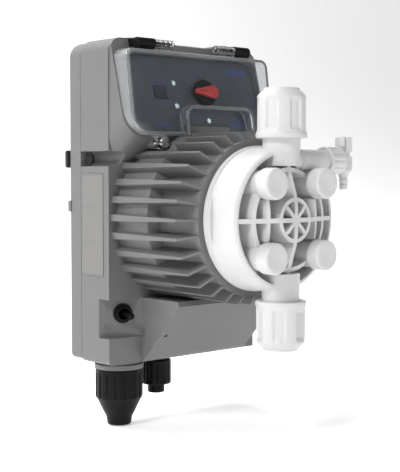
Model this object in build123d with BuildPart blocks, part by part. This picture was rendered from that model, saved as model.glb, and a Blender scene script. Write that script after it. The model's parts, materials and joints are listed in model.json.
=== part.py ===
from build123d import *
import math
import os

# A wall-hung solenoid diaphragm metering pump, built as an assembly.
# X runs across the pump, Z is up, and the front faces -Y.
# The origin lies on the wall plane, midway between the two wall screws.
# "Depth" below is the distance from the wall towards the front, so Y = -depth.

os.makedirs("parts", exist_ok=True)

# ---------------------------------------------------------------- casing sizes
case_w = 107.0
case_half = case_w / 2
case_bottom = -109.5
side_top = 55.7
shoulder_x = case_half - 9.5
shoulder_z = 63.3
crown_z = 65.6
wall = 3.0
pad_t = 2.0
split_depth = 13.2
gasket_t = 1.2
front_depth = 38.4
back_depth = pad_t
case_back = split_depth + gasket_t
cavity_front = front_depth - wall

# Wall screws.
wall_pitch = case_w - 10.0
wall_hole_r = 2.75
channel_r = 4.0

# Inclined panel: the face leans back by panel_lean from the vertical.
panel_lean = 14.6
panel_top_z = 56.8
panel_top_depth = 40.3
panel_c = math.cos(math.radians(panel_lean))
panel_s = math.sin(math.radians(panel_lean))
panel_recess = 1.2
panel_sheet = 0.8
panel_wall = 2.5
key_travel = 0.5

# Clear cover over the panel.
lid_half = case_half - 1.5
lid_bottom = 12.0
lid_top = 57.0
lid_wall = 1.8
lid_lean = 7.5
lid_front_depth = 51.4
lid_corner = 12.0
notch_left = -12.5
notch_right = 35.0
notch_top = 27.0
hinge_depth = 45.9
hinge_z = 60.6
knuckle_r = 2.6
knuckle_in = 16.2
knuckle_out = 28.9
block_out = case_half - 13.0
hinge_pin_r = 1.2
lug_left = -31.0
lug_right = 41.0
lug_z = 8.4
lug_r = 3.6

# Pump axis, and the finned solenoid barrel around it.
axis_x = -3.0
axis_z = -30.9
fin_r = 49.2
fin_oval_half_w = 52.1
fin_oval_half_h = 44.8
fin_count = 32
fin_root_t = 3.7
fin_tip_t = 1.1
drum_rear_r = 45.2
drum_front_r = 39.5
drum_step = front_depth + 25.1
barrel_rim_r = 40.3
barrel_depth = front_depth + 58.1
barrel_cone_start = barrel_depth - 6.7
bore_r = 36.0
bore_end = barrel_depth - 10.5

# Pump head.
head_rim_r = 37.4
ring_out_r = 35.5
ring_in_r = 33.2
ring_depth = barrel_depth + 21.5
floor_depth = barrel_depth + 10.5
ledge_depth = floor_depth + 6.0
hub_rise = 7.1
hub_depth = ring_depth + hub_rise
bolt_pitch = 36.4
boss_r = 6.6
boss_rise = 3.0
boss_depth = ring_depth + boss_rise
cap_r = 7.85
cap_h = 8.7
cap_depth = boss_depth + cap_h
neck_r = 9.6
neck_depth = barrel_depth + 18.0
neck_end = 54.0
valve_bore_r = 6.0
valve_bore_in = 34.0
rib_t = 2.3

# Valves: ball, seat and lift are alike on both sides.
ball_r = 3.175
seat_hole_r = 2.4
seat_h = 4.0
ball_lift = 1.5

# Union nuts.
nut_skirt_r = 13.0
nut_end_r = 12.3
nut_low = 40.8
nut_high = 66.0

# Cable entries in the bottom.
gland_x = -case_half + 18.1
port_x = gland_x + 26.5
gland_y = -23.7
gland_thread_r = 9.0

# Stroke of the armature.
stroke = 1.25
shaft_r = 4.0
running = 0.04

panel_plane = Plane(
    origin=(0, -panel_top_depth, panel_top_z),
    x_dir=(1, 0, 0),
    z_dir=(0, -panel_c, panel_s),
)


def panel_y(z):
    return (z - panel_top_z) / panel_c


# Plane whose local x is the radius from the pump axis and local y the depth.
axis_plane = Plane(origin=(axis_x, 0, axis_z), x_dir=(1, 0, 0), z_dir=(0, 0, -1))
pump_axis = Axis((axis_x, 0, axis_z), (0, -1, 0))


def front_plane(depth):
    return Plane.XZ.offset(depth)


def pump_plane(depth):
    return Plane(origin=(axis_x, -depth, axis_z), x_dir=(1, 0, 0), z_dir=(0, -1, 0))


def casing_outline(depth, inset):
    half = case_half - inset
    low = case_bottom + inset
    sx = shoulder_x - inset * 0.6
    sz = shoulder_z - inset
    with BuildSketch(front_plane(depth)) as sketch:
        with BuildLine():
            Line((-half, low), (half, low))
            Line((half, low), (half, side_top - inset * 0.6))
            ThreePointArc(
                (half, side_top - inset * 0.6),
                (half - 2.6, sz - 2.2),
                (sx, sz),
            )
            ThreePointArc((sx, sz), (0, crown_z - inset), (-sx, sz))
            ThreePointArc(
                (-sx, sz),
                (-half + 2.6, sz - 2.2),
                (-half, side_top - inset * 0.6),
            )
            Line((-half, side_top - inset * 0.6), (-half, low))
        make_face()
        corners = sketch.vertices().group_by(Axis.Y)[0].sort_by(Axis.X)
        fillet(corners[0], max(3.0 - inset * 0.5, 0.6))
        fillet(corners[-1], 8.0 - inset)
    return sketch.sketch


post_x = case_half - 8
post_sites = [(-post_x, 50.5), (post_x, 50.5), (-post_x - 1, -64.5), (post_x, -101.0)]
post_r = 4.4


def cavity_outline(depth):
    half = case_half - wall
    with BuildSketch(front_plane(depth)) as sketch:
        with BuildLine():
            Line((-half, case_bottom + wall), (half, case_bottom + wall))
            Line((half, case_bottom + wall), (half, side_top - wall))
            Line((half, side_top - wall), (shoulder_x - wall, shoulder_z - wall))
            Line(
                (shoulder_x - wall, shoulder_z - wall),
                (-shoulder_x + wall, shoulder_z - wall),
            )
            Line(
                (-shoulder_x + wall, shoulder_z - wall),
                (-half, side_top - wall),
            )
            Line((-half, side_top - wall), (-half, case_bottom + wall))
        make_face()
        fillet(sketch.vertices(), 3)
        with Locations((-wall_pitch / 2, 0), (wall_pitch / 2, 0)):
            Rectangle(14, 13, mode=Mode.SUBTRACT)
        with Locations(*post_sites):
            Circle(post_r, mode=Mode.SUBTRACT)
        with Locations((-case_half + 11, -85)):
            Rectangle(22, 27, mode=Mode.SUBTRACT)
    return sketch.sketch


def channel_outline(depth):
    with BuildSketch(front_plane(depth)) as sketch:
        with Locations((-wall_pitch / 2, 0), (wall_pitch / 2, 0)):
            Circle(channel_r)
        with Locations((-wall_pitch / 2 - 4, 0), (wall_pitch / 2 + 4, 0)):
            Rectangle(8, 2 * channel_r)
    return sketch.sketch


board_x = case_half - 29.5

# ------------------------------------------------------------------ rear cover
with BuildPart() as rear_cover:
    extrude(casing_outline(back_depth, 0.7), amount=split_depth - back_depth)
    fillet(rear_cover.faces().sort_by(Axis.Y)[-1].outer_wire().edges(), 2.8)
    extrude(cavity_outline(back_depth + wall), amount=split_depth, mode=Mode.SUBTRACT)
    # Holes for the wall screws.
    with BuildSketch(front_plane(0)):
        with Locations((-wall_pitch / 2, 0), (wall_pitch / 2, 0)):
            Circle(wall_hole_r)
    extrude(amount=split_depth + 1, mode=Mode.SUBTRACT)
    # Screw holes with counterbores from behind.
    with BuildSketch(front_plane(0)):
        with Locations(*post_sites):
            Circle(1.75)
    extrude(amount=split_depth + 1, mode=Mode.SUBTRACT)
    with BuildSketch(front_plane(0)):
        with Locations(*post_sites):
            Circle(3.3)
    extrude(amount=back_depth + 3.2, mode=Mode.SUBTRACT)
    # Standoffs that carry the power board.
    with BuildSketch(front_plane(back_depth + wall - 0.5)):
        with Locations((-board_x, -93), (board_x, -93), (-board_x, -55), (board_x, -55)):
            Circle(3)
    extrude(amount=15.5)
    # Snap tab on each long edge.
    with Locations((-case_half + 0.9, -back_depth - 1.4, -25.6)):
        Box(1.4, 2.4, 6)
    with Locations((case_half - 0.9, -back_depth - 1.4, -25.6)):
        Box(1.4, 2.4, 6)
rear_cover.part.label = "rear_cover"
export_step(rear_cover.part, "parts/rear_cover.step")

# ---------------------------------------------------------------- wall pads
with BuildPart() as wall_pads:
    with BuildSketch(front_plane(0)):
        with Locations((-wall_pitch / 2 - 0.4, 0), (wall_pitch / 2 + 0.4, 0)):
            Rectangle(9.2, 9.4)
    extrude(amount=pad_t)
    chamfer(wall_pads.edges().filter_by(Axis.X).group_by(Axis.Y)[-1], 0.9)
    with BuildSketch(front_plane(0)):
        with Locations((-wall_pitch / 2, 0), (wall_pitch / 2, 0)):
            Circle(wall_hole_r)
    extrude(amount=pad_t, mode=Mode.SUBTRACT)
wall_pads.part.label = "wall_pads"
export_step(wall_pads.part, "parts/wall_pads.step")

# ------------------------------------------------------------- casing gasket
with BuildPart() as casing_gasket:
    extrude(casing_outline(split_depth, 1.7), amount=gasket_t)
    extrude(cavity_outline(split_depth), amount=gasket_t, mode=Mode.SUBTRACT)
    extrude(channel_outline(split_depth), amount=gasket_t, mode=Mode.SUBTRACT)
    with BuildSketch(front_plane(split_depth)):
        with Locations(*post_sites):
            Circle(1.75)
    extrude(amount=gasket_t, mode=Mode.SUBTRACT)
casing_gasket.part.label = "casing_gasket"
export_step(casing_gasket.part, "parts/casing_gasket.step")

# ---------------------------------------------------------------- front casing
# Pod that carries the inclined panel: it grows out of the box front.
with BuildPart() as pod:
    with BuildSketch(front_plane(30)):
        with Locations((0, 27)):
            Rectangle(case_w, 72)
    with BuildSketch(panel_plane):
        with Locations((0, (panel_y(66) + panel_y(lid_bottom - 0.6)) / 2)):
            Rectangle(2 * lid_half + 1.2, panel_y(66) - panel_y(lid_bottom - 0.6))
    loft()
    low_edges = pod.edges().filter_by(
        lambda e: e.center().Z < 20 and abs(e.center().X) > 40 and e.length < 40
    )
    fillet(low_edges, 11)
    extrude(casing_outline(28, 0), amount=40, mode=Mode.INTERSECT)

# The fins stand radially on the drum; they thin out towards the front.
fin_planes = []
for i in range(fin_count):
    a = 2 * math.pi * i / fin_count
    fin_planes.append(
        Plane(
            origin=(axis_x + 35 * math.cos(a), 0, axis_z + 35 * math.sin(a)),
            x_dir=(-math.sin(a), 0, math.cos(a)),
            z_dir=(math.cos(a), 0, math.sin(a)),
        )
    )
with BuildPart() as fins:
    with BuildSketch(*fin_planes):
        Polygon(
            (-fin_root_t / 2, front_depth - 0.9),
            (fin_root_t / 2, front_depth - 0.9),
            (fin_tip_t / 2, barrel_depth - 0.3),
            (-fin_tip_t / 2, barrel_depth - 0.3),
            align=None,
        )
    extrude(amount=18)
    with BuildSketch(axis_plane):
        Polygon(
            (0, 30),
            (fin_r, 30),
            (fin_r, barrel_cone_start),
            (barrel_rim_r, barrel_depth),
            (0, barrel_depth),
            align=None,
        )
    revolve(axis=pump_axis, mode=Mode.INTERSECT)
    with BuildSketch(pump_plane(30)):
        Ellipse(fin_oval_half_w, fin_oval_half_h)
    extrude(amount=70, mode=Mode.INTERSECT)

# Chin below the barrel: a sloping block right of the switch pocket.
with BuildPart() as chin:
    with BuildSketch(Plane.YZ.offset(-case_half + 22.6)):
        Polygon(
            (-37, -74.6),
            (-67.4, -74.6),
            (-68.2, -77.2),
            (-40.7, -107.6),
            (-38.4, case_bottom),
            (-37, case_bottom),
            align=None,
        )
    extrude(amount=case_w - 29.2)
    slope_edge = chin.faces().sort_by(Axis.X)[-1].edges().filter_by(lambda e: e.length > 35)
    fillet(slope_edge.sort_by(Axis.Y)[0], 2.5)

with BuildPart() as front_casing:
    extrude(casing_outline(case_back, 0), amount=front_depth - case_back)
    add(pod.part)
    # Between the hinge blocks the top falls away towards the panel.
    with BuildSketch(Plane.YZ):
        Polygon((-case_back - 2, crown_z), (-48, 60.3), (-48, 70), (-10, 70), align=None)
    extrude(amount=knuckle_out + 0.3, both=True, mode=Mode.SUBTRACT)
    # Drum, stepped and closed by the rim disc the head bolts to.
    with BuildSketch(axis_plane):
        Polygon(
            (0, front_depth - 1.4),
            (drum_rear_r, front_depth - 1.4),
            (drum_rear_r, drum_step),
            (drum_front_r, drum_step + 3.5),
            (drum_front_r, barrel_depth - 2.9),
            (barrel_rim_r, barrel_depth - 2.9),
            (barrel_rim_r, barrel_depth),
            (0, barrel_depth),
            align=None,
        )
    revolve(axis=pump_axis)
    add(fins.part)
    # Drum and fins are cut back where the cover and its lugs come down.
    with BuildSketch(front_plane(51.85)):
        with Locations(((notch_left + 0.8 - case_half) / 2, lid_bottom + 9.9)):
            Rectangle(case_half + notch_left + 0.8, 20)
        with Locations(((notch_right - 0.8 + case_half) / 2, lid_bottom + 9.9)):
            Rectangle(case_half - notch_right + 0.8, 20)
    extrude(amount=12, mode=Mode.SUBTRACT)
    with BuildSketch(front_plane(52.2)):
        with Locations((lug_left, lug_z), (lug_right, lug_z)):
            Circle(lug_r + 0.8)
    extrude(amount=12, mode=Mode.SUBTRACT)
    add(chin.part)
    # Small block the cover closes over, on top of the barrel.
    with Locations((5.2, -49, 12.7)):
        Box(30.5, 8, 10)
    # Shallow recess for the panel sheet.
    with BuildSketch(panel_plane) as panel_opening:
        with Locations((0, (panel_y(55) + panel_y(14.5)) / 2)):
            Rectangle(case_w - 13, panel_y(55) - panel_y(14.5))
        fillet(panel_opening.vertices(), 8)
        with Locations((5.2, panel_y(14))):
            Rectangle(31, 8.4, mode=Mode.SUBTRACT)
    extrude(amount=-panel_recess, mode=Mode.SUBTRACT)
    # Inside of the box, open to the rear cover.
    extrude(cavity_outline(case_back), amount=cavity_front - case_back, mode=Mode.SUBTRACT)
    # Inside of the pod, behind the panel.
    with BuildSketch(panel_plane.offset(-panel_recess - panel_wall)):
        with Locations((0, (panel_y(52) + panel_y(15)) / 2)):
            Rectangle(case_w - 19, panel_y(52) - panel_y(15))
    extrude(amount=-15, mode=Mode.SUBTRACT)
    # Bore for the solenoid, entered from behind.
    with BuildSketch(pump_plane(cavity_front - 1)):
        Circle(bore_r)
    extrude(amount=bore_end - cavity_front + 1, mode=Mode.SUBTRACT)
    # Hole for the shaft bush and recess behind the diaphragm.
    with BuildSketch(pump_plane(bore_end - 1)):
        Circle(7)
    extrude(amount=8.5, mode=Mode.SUBTRACT)
    with BuildSketch(pump_plane(barrel_depth - 3.5)):
        Circle(19.5)
    extrude(amount=4, mode=Mode.SUBTRACT)
    # Threaded holes for the four head screws.
    with BuildSketch(pump_plane(bore_end + 1.5)):
        with GridLocations(bolt_pitch, bolt_pitch, 2, 2):
            Circle(2.05)
    extrude(amount=barrel_depth - bore_end, mode=Mode.SUBTRACT)
    # Half-round channels in both sides that reach the wall screws.
    extrude(channel_outline(case_back - 1), amount=60, mode=Mode.SUBTRACT)
    # Pilot holes for the casing screws.
    with BuildSketch(front_plane(case_back)):
        with Locations(*post_sites):
            Circle(1.65)
    extrude(amount=16, mode=Mode.SUBTRACT)
    # Slanted pocket for the power switch on the front left edge.
    with BuildSketch(Plane.XY.offset(-95.2)):
        Polygon(
            (-case_half - 2.5, -28.5),
            (-case_half + 22.6, -front_depth),
            (-case_half + 22.6, -front_depth - 1.1),
            (-case_half - 2.5, -front_depth - 1.1),
            align=None,
        )
    extrude(amount=20.8, mode=Mode.SUBTRACT)
    # Recess for the bare rating label.
    with BuildSketch(Plane.YZ.offset(-case_half)):
        with Locations((-24.6, -35)):
            Rectangle(18.6, 54.6)
    extrude(amount=0.3, mode=Mode.SUBTRACT)
    # Holes in the bottom for the two cable entries.
    with BuildSketch(Plane.XY.offset(case_bottom - 1)):
        with Locations((gland_x, gland_y)):
            Circle(gland_thread_r + 0.1)
        with Locations((port_x, gland_y)):
            Circle(6)
    extrude(amount=wall + 2, mode=Mode.SUBTRACT)
    # Openings through the panel wall: adjuster shaft, lights and key.
    with BuildSketch(panel_plane):
        with Locations((6.6, panel_y(36))):
            Circle(3.2)
        with Locations((-13.7, panel_y(41)), (-14, panel_y(28.6)), (8.6, panel_y(21.3))):
            Circle(1.7)
        with Locations((-24.5, panel_y(35.6))):
            Circle(2.4)
    extrude(amount=-8, mode=Mode.SUBTRACT)
    # Standoffs for the control board.
    with BuildSketch(panel_plane.offset(-panel_recess - panel_wall + 0.3)):
        with Locations(
            (-case_half + 16.5, panel_y(48)),
            (case_half - 16.5, panel_y(48)),
            (-case_half + 16.5, panel_y(21)),
            (case_half - 16.5, panel_y(21)),
        ):
            Circle(2.4)
    extrude(amount=-8.6)
    # Bosses the two cover screws bear on.
    with BuildSketch(front_plane(42)):
        with Locations((lug_left, lug_z), (lug_right, lug_z)):
            Circle(lug_r)
    extrude(amount=10.1)
    # Sink mark hole low in the chin.
    with BuildSketch(Plane(origin=(-26.5, -53, -94.4), z_dir=(0, -0.741, -0.671))):
        Circle(1.1)
    extrude(amount=-5, mode=Mode.SUBTRACT)
    # Seat of the switch bush and body, square to the pocket floor.
    switch_out = Vector(-0.367, -0.930, 0)
    switch_site = Vector(-case_half + 12.2, -34.3, -82.6)
    switch_seat = Plane(
        origin=switch_site,
        x_dir=(0.930, -0.367, 0),
        z_dir=switch_out,
    )
    with BuildSketch(switch_seat.offset(1)):
        Circle(3.6)
    extrude(amount=-5, mode=Mode.SUBTRACT)
    with BuildSketch(switch_seat.offset(-3)):
        Rectangle(10, 12)
    extrude(amount=-22, mode=Mode.SUBTRACT)
front_casing.part.label = "front_casing"
export_step(front_casing.part, "parts/front_casing.step")

# ---------------------------------------------------------------- casing screws
with BuildPart() as casing_screws:
    with BuildSketch(front_plane(back_depth + 0.7)):
        with Locations(*post_sites):
            Circle(3)
    extrude(amount=2.5)
    with BuildSketch(front_plane(back_depth + 3)):
        with Locations(*post_sites):
            Circle(1.6)
    extrude(amount=23)
    with BuildSketch(front_plane(back_depth + 0.7)):
        with Locations(*post_sites):
            Rectangle(3.6, 0.9)
            Rectangle(0.9, 3.6)
    extrude(amount=1.2, mode=Mode.SUBTRACT)
casing_screws.part.label = "casing_screws"
export_step(casing_screws.part, "parts/casing_screws.step")

# ---------------------------------------------------------------- rating label
with BuildPart() as rating_label:
    with BuildSketch(Plane.YZ.offset(-case_half - 0.2)):
        with Locations((-24.6, -35)):
            Rectangle(18.2, 54.2)
    extrude(amount=0.5)
    fillet(rating_label.edges().filter_by(Axis.X), 1)
rating_label.part.label = "rating_label"
export_step(rating_label.part, "parts/rating_label.step")

# ---------------------------------------------------------------- panel group
with BuildPart() as control_panel:
    with BuildSketch(panel_plane.offset(-panel_recess)) as sheet:
        with Locations((0, (panel_y(54.7) + panel_y(14.8)) / 2)):
            Rectangle(case_w - 13.6, panel_y(54.7) - panel_y(14.8))
        fillet(sheet.vertices(), 7.7)
        with Locations((5.2, panel_y(14))):
            Rectangle(31.6, 9, mode=Mode.SUBTRACT)
        with Locations((6.6, panel_y(36))):
            Circle(3.2, mode=Mode.SUBTRACT)
        with Locations((-13.7, panel_y(41)), (-14, panel_y(28.6)), (8.6, panel_y(21.3))):
            Circle(1.6, mode=Mode.SUBTRACT)
        with Locations((-24.5, panel_y(35.6))):
            Rectangle(9.2, 7.2, mode=Mode.SUBTRACT)
    extrude(amount=panel_sheet)
control_panel.part.label = "control_panel"
export_step(control_panel.part, "parts/control_panel.step")

board_top = -panel_recess - panel_wall - 8.3

with BuildPart() as status_leds:
    with BuildSketch(panel_plane.offset(board_top)):
        with Locations((-13.7, panel_y(41)), (-14, panel_y(28.6)), (8.6, panel_y(21.3))):
            Circle(1.45)
    extrude(amount=-board_top - 0.5)
    with BuildSketch(panel_plane.offset(board_top)):
        with Locations((-13.7, panel_y(41)), (-14, panel_y(28.6)), (8.6, panel_y(21.3))):
            Circle(2)
    extrude(amount=4)
    chamfer(
        status_leds.faces().filter_by(
            lambda f: abs(panel_plane.to_local_coords(f.center()).Z + 0.5) < 0.01
        ).edges(),
        0.4,
    )
status_leds.part.label = "status_leds"
export_step(status_leds.part, "parts/status_leds.step")

with BuildPart() as mode_key:
    with BuildSketch(panel_plane.offset(-panel_recess + key_travel + 0.05)) as key_face:
        with Locations((-24.5, panel_y(35.6))):
            Rectangle(8.8, 6.8)
        fillet(key_face.vertices(), 1.2)
    extrude(amount=0.55)
    # Guide stem through the panel wall, square to the panel.
    with BuildSketch(panel_plane.offset(-panel_recess + key_travel + 0.1)):
        with Locations((-24.5, panel_y(35.6))):
            Circle(2.3)
    extrude(amount=-6.7)
mode_key.part.label = "mode_key"
export_step(mode_key.part, "parts/mode_key.step")

with BuildPart() as circuit_board:
    with BuildSketch(panel_plane.offset(board_top)):
        with Locations((0, (panel_y(51) + panel_y(16.5)) / 2)):
            Rectangle(case_w - 23, panel_y(51) - panel_y(16.5))
    extrude(amount=-1.6)
circuit_board.part.label = "circuit_board"
export_step(circuit_board.part, "parts/circuit_board.step")

with BuildPart() as key_switch:
    with BuildSketch(panel_plane.offset(board_top)):
        with Locations((-24.5, panel_y(35.6))):
            Rectangle(6, 6)
    extrude(amount=3.2)
    with BuildSketch(panel_plane.offset(board_top)):
        with Locations((-24.5, panel_y(35.6))):
            Circle(1.7)
    extrude(amount=4)
key_switch.part.label = "key_switch"
export_step(key_switch.part, "parts/key_switch.step")

with BuildPart() as potentiometer:
    with BuildSketch(panel_plane.offset(board_top)):
        with Locations((6.6, panel_y(36))):
            Circle(7.5)
    extrude(amount=6)
    with BuildSketch(panel_plane.offset(board_top + 1)):
        with Locations((6.6, panel_y(36))):
            Circle(3.05 + running)
    extrude(amount=7, mode=Mode.SUBTRACT)
potentiometer.part.label = "potentiometer"
export_step(potentiometer.part, "parts/potentiometer.step")

with BuildPart() as adjuster_disc:
    with BuildSketch(panel_plane.offset(-0.1)):
        with Locations((6.6, panel_y(36))):
            Circle(7.3)
    extrude(amount=2.6)
    knob_rim = adjuster_disc.faces().sort_by(Axis.Y)[0]
    chamfer(knob_rim.edges(), 0.5)
    with BuildSketch(panel_plane.offset(board_top + 1.2)):
        with Locations((6.6, panel_y(36))):
            Circle(3.05)
    extrude(amount=-board_top)
    # Knurled rim.
    with BuildSketch(panel_plane.offset(-0.2)):
        with Locations((6.6, panel_y(36))):
            with PolarLocations(7.55, 24):
                Circle(0.5)
    extrude(amount=2.2, mode=Mode.SUBTRACT)
adjuster_disc.part.label = "adjuster_disc"
export_step(adjuster_disc.part, "parts/adjuster_disc.step")

# Teardrop pointer: round end to the right, tip to the left.
def pointer_outline(height, inset):
    with BuildSketch(panel_plane.offset(height)) as sketch:
        with Locations((6.6 + 3.9, panel_y(36))):
            Circle(3.7 - inset)
        Polygon(
            (6.6 + 3.1, panel_y(36) + 3.45 - inset),
            (6.6 - 8.6 + inset, panel_y(36) + 1.3 - inset / 2),
            (6.6 - 9.2 + inset, panel_y(36)),
            (6.6 - 8.6 + inset, panel_y(36) - 1.3 + inset / 2),
            (6.6 + 3.1, panel_y(36) - 3.45 + inset),
            align=None,
        )
    return sketch.sketch


with BuildPart() as adjuster_pointer:
    extrude(pointer_outline(2.5, 0), amount=1.8)
    extrude(pointer_outline(4.3, 0.4), amount=0.3)
    extrude(pointer_outline(4.6, 0.9), amount=0.3)
adjuster_pointer.part.label = "adjuster_pointer"
export_step(adjuster_pointer.part, "parts/adjuster_pointer.step")

# ---------------------------------------------------------------- clear cover
lid_c = math.cos(math.radians(lid_lean))
lid_s = math.sin(math.radians(lid_lean))
lid_plane = Plane(
    origin=(0, -lid_front_depth, lid_top),
    x_dir=(1, 0, 0),
    z_dir=(0, -lid_c, lid_s),
)


def lid_outline(inset):
    with BuildSketch(front_plane(30)) as sketch:
        with Locations((0, (lid_top + lid_bottom) / 2)):
            Rectangle(2 * lid_half - 2 * inset, lid_top - lid_bottom - 2 * inset)
        low = sketch.vertices().group_by(Axis.Y)[0]
        fillet(low, lid_corner - inset)
        high = sketch.vertices().group_by(Axis.Y)[-1]
        fillet(high, 5 - inset)
    return sketch.sketch


def lid_notch(grow):
    with BuildSketch(front_plane(30)) as sketch:
        mid = (notch_left + notch_right) / 2
        with Locations((mid, notch_top + grow - 15)):
            Rectangle(notch_right - notch_left + 2 * grow, 30)
        fillet(sketch.vertices().group_by(Axis.Y)[-1], 5 + grow)
    return sketch.sketch


with BuildPart() as lid_core:
    extrude(lid_outline(lid_wall), amount=40)
    split(bisect_by=lid_plane.offset(-lid_wall), keep=Keep.BOTTOM)
    extrude(lid_notch(lid_wall), amount=40, mode=Mode.SUBTRACT)

with BuildPart() as clear_cover:
    extrude(lid_outline(0), amount=40)
    split(bisect_by=lid_plane, keep=Keep.BOTTOM)
    fillet(clear_cover.faces().sort_by(Axis.Y)[0].edges(), 1.6)
    extrude(lid_notch(0), amount=40, mode=Mode.SUBTRACT)
    add(lid_core.part, mode=Mode.SUBTRACT)
    split(bisect_by=panel_plane.offset(0.25), keep=Keep.TOP)
    # Knuckles on the top wall, bored for the hinge pins.
    for side in (-1, 1):
        mid = side * (knuckle_in + knuckle_out) / 2
        span = knuckle_out - knuckle_in
        with BuildSketch(Plane.YZ.offset(mid - span / 2)):
            with Locations((-hinge_depth, hinge_z)):
                Circle(knuckle_r)
            with Locations((-hinge_depth, (hinge_z + lid_top) / 2 - 0.4)):
                Rectangle(3.2, hinge_z - lid_top + 0.8)
        extrude(amount=span)
        with BuildSketch(Plane.YZ.offset(mid - span / 2 - 1)):
            with Locations((-hinge_depth, hinge_z)):
                Circle(hinge_pin_r + running)
        extrude(amount=span + 2, mode=Mode.SUBTRACT)
        # Ribbing of the knuckle.
        for k in (-3.3, 0, 3.3):
            with BuildSketch(Plane.YZ.offset(mid + k - 0.5)):
                with Locations((-hinge_depth, hinge_z)):
                    Circle(knuckle_r + 0.4)
                    Circle(knuckle_r - 0.5, mode=Mode.SUBTRACT)
                with Locations((-hinge_depth, hinge_z - 3)):
                    Rectangle(8, 4, mode=Mode.SUBTRACT)
            extrude(amount=1.0, mode=Mode.SUBTRACT)
    # Lugs for the two captive screws under the lower edge.
    with BuildSketch(front_plane(52.4)):
        with Locations((lug_left, lug_z), (lug_right, lug_z)):
            Circle(lug_r)
        with Locations((lug_left, lug_z + 2.4), (lug_right, lug_z + 2.4)):
            Rectangle(2 * lug_r, 4.8)
    extrude(amount=3.6)
    with BuildSketch(front_plane(50)):
        with Locations((lug_left, lug_z), (lug_right, lug_z)):
            Circle(1.55)
    extrude(amount=8, mode=Mode.SUBTRACT)
clear_cover.part.label = "clear_cover"
export_step(clear_cover.part, "parts/clear_cover.step")

with BuildPart() as hinge_blocks:
    for side in (-1, 1):
        inner = side * (knuckle_out + 0.3)
        with BuildSketch(Plane.YZ.offset(inner)):
            with Locations((-hinge_depth, hinge_z)):
                Circle(2.9)
            with Locations((-hinge_depth + 4.5, hinge_z)):
                Rectangle(9, 4.6)
        extrude(amount=side * (block_out - knuckle_out - 0.3))
        with BuildSketch(Plane.YZ.offset(inner)):
            with Locations((-hinge_depth, hinge_z)):
                Circle(hinge_pin_r)
        extrude(amount=-side * (knuckle_out - knuckle_in - 0.6))
    split(bisect_by=panel_plane.offset(0.02), keep=Keep.TOP)
hinge_blocks.part.label = "hinge_blocks"
export_step(hinge_blocks.part, "parts/hinge_blocks.step")

with BuildPart() as cover_screws:
    with BuildSketch(front_plane(56.05)):
        with Locations((lug_left, lug_z), (lug_right, lug_z)):
            Circle(lug_r - 0.6)
    extrude(amount=2)
    fillet(cover_screws.faces().sort_by(Axis.Y)[0].edges(), 0.6)
    with BuildSketch(front_plane(52.2)):
        with Locations((lug_left, lug_z), (lug_right, lug_z)):
            Circle(1.5)
    extrude(amount=4)
    with BuildSketch(front_plane(56.9)):
        with Locations((lug_left, lug_z), (lug_right, lug_z)):
            Rectangle(7, 0.9)
    extrude(amount=3, mode=Mode.SUBTRACT)
cover_screws.part.label = "cover_screws"
export_step(cover_screws.part, "parts/cover_screws.step")

# ---------------------------------------------------------------- power switch
with BuildPart() as switch_body:
    with BuildSketch(switch_seat.offset(-3.05)):
        Rectangle(9.6, 11.6)
    extrude(amount=-9)
    with BuildSketch(switch_seat.offset(-3.05)):
        Circle(3.5)
    extrude(amount=3.0)
    with BuildSketch(switch_seat.offset(-6.5)):
        Circle(2.95)
    extrude(amount=8, mode=Mode.SUBTRACT)
    with BuildSketch(switch_seat.offset(-12)):
        with GridLocations(0, 4, 1, 3):
            Rectangle(2.4, 0.8)
    extrude(amount=-6)
switch_body.part.label = "switch_body"
export_step(switch_body.part, "parts/switch_body.step")

with BuildPart() as switch_bush:
    with BuildSketch(switch_seat):
        Circle(5.2)
        Circle(2.95, mode=Mode.SUBTRACT)
    extrude(amount=1.6)
    outer = switch_bush.edges().filter_by(GeomType.CIRCLE).sort_by(Axis.Y)
    chamfer(outer[0], 0.6)
    with BuildSketch(switch_seat.offset(1.6)):
        Circle(4.0)
        Circle(2.95, mode=Mode.SUBTRACT)
    extrude(amount=1.4)
switch_bush.part.label = "switch_bush"
export_step(switch_bush.part, "parts/switch_bush.step")

# Lever, tipped towards "off"; its pivot lies below the pocket floor.
lever_tilt = 13.0
lever_aim = 18.0
pivot_drop = 2.2
aim = math.radians(lever_aim)
tip = math.radians(lever_tilt)
in_plane = switch_seat.x_dir * math.cos(aim) - switch_seat.y_dir * math.sin(aim)
lever_dir = switch_out.normalized() * math.cos(tip) + in_plane * math.sin(tip)
pivot_point = switch_site - switch_out.normalized() * pivot_drop
with BuildPart() as switch_lever:
    with BuildSketch(Plane(origin=pivot_point, z_dir=lever_dir)):
        Circle(1.15)
    with BuildSketch(Plane(origin=pivot_point + lever_dir * 12.5, z_dir=lever_dir)):
        Circle(1.7)
    loft()
    fillet(switch_lever.edges().filter_by(GeomType.CIRCLE).sort_by(Axis.Y)[0], 1.2)
    with Locations(pivot_point):
        Sphere(2.3)
    # Cross pin the lever rocks on.
    pin_dir = switch_out.normalized().cross(in_plane)
    with BuildSketch(Plane(origin=pivot_point - pin_dir * 2.6, z_dir=pin_dir)):
        Circle(0.8)
    extrude(amount=5.2)
switch_lever.part.label = "switch_lever"
export_step(switch_lever.part, "parts/switch_lever.step")

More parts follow.
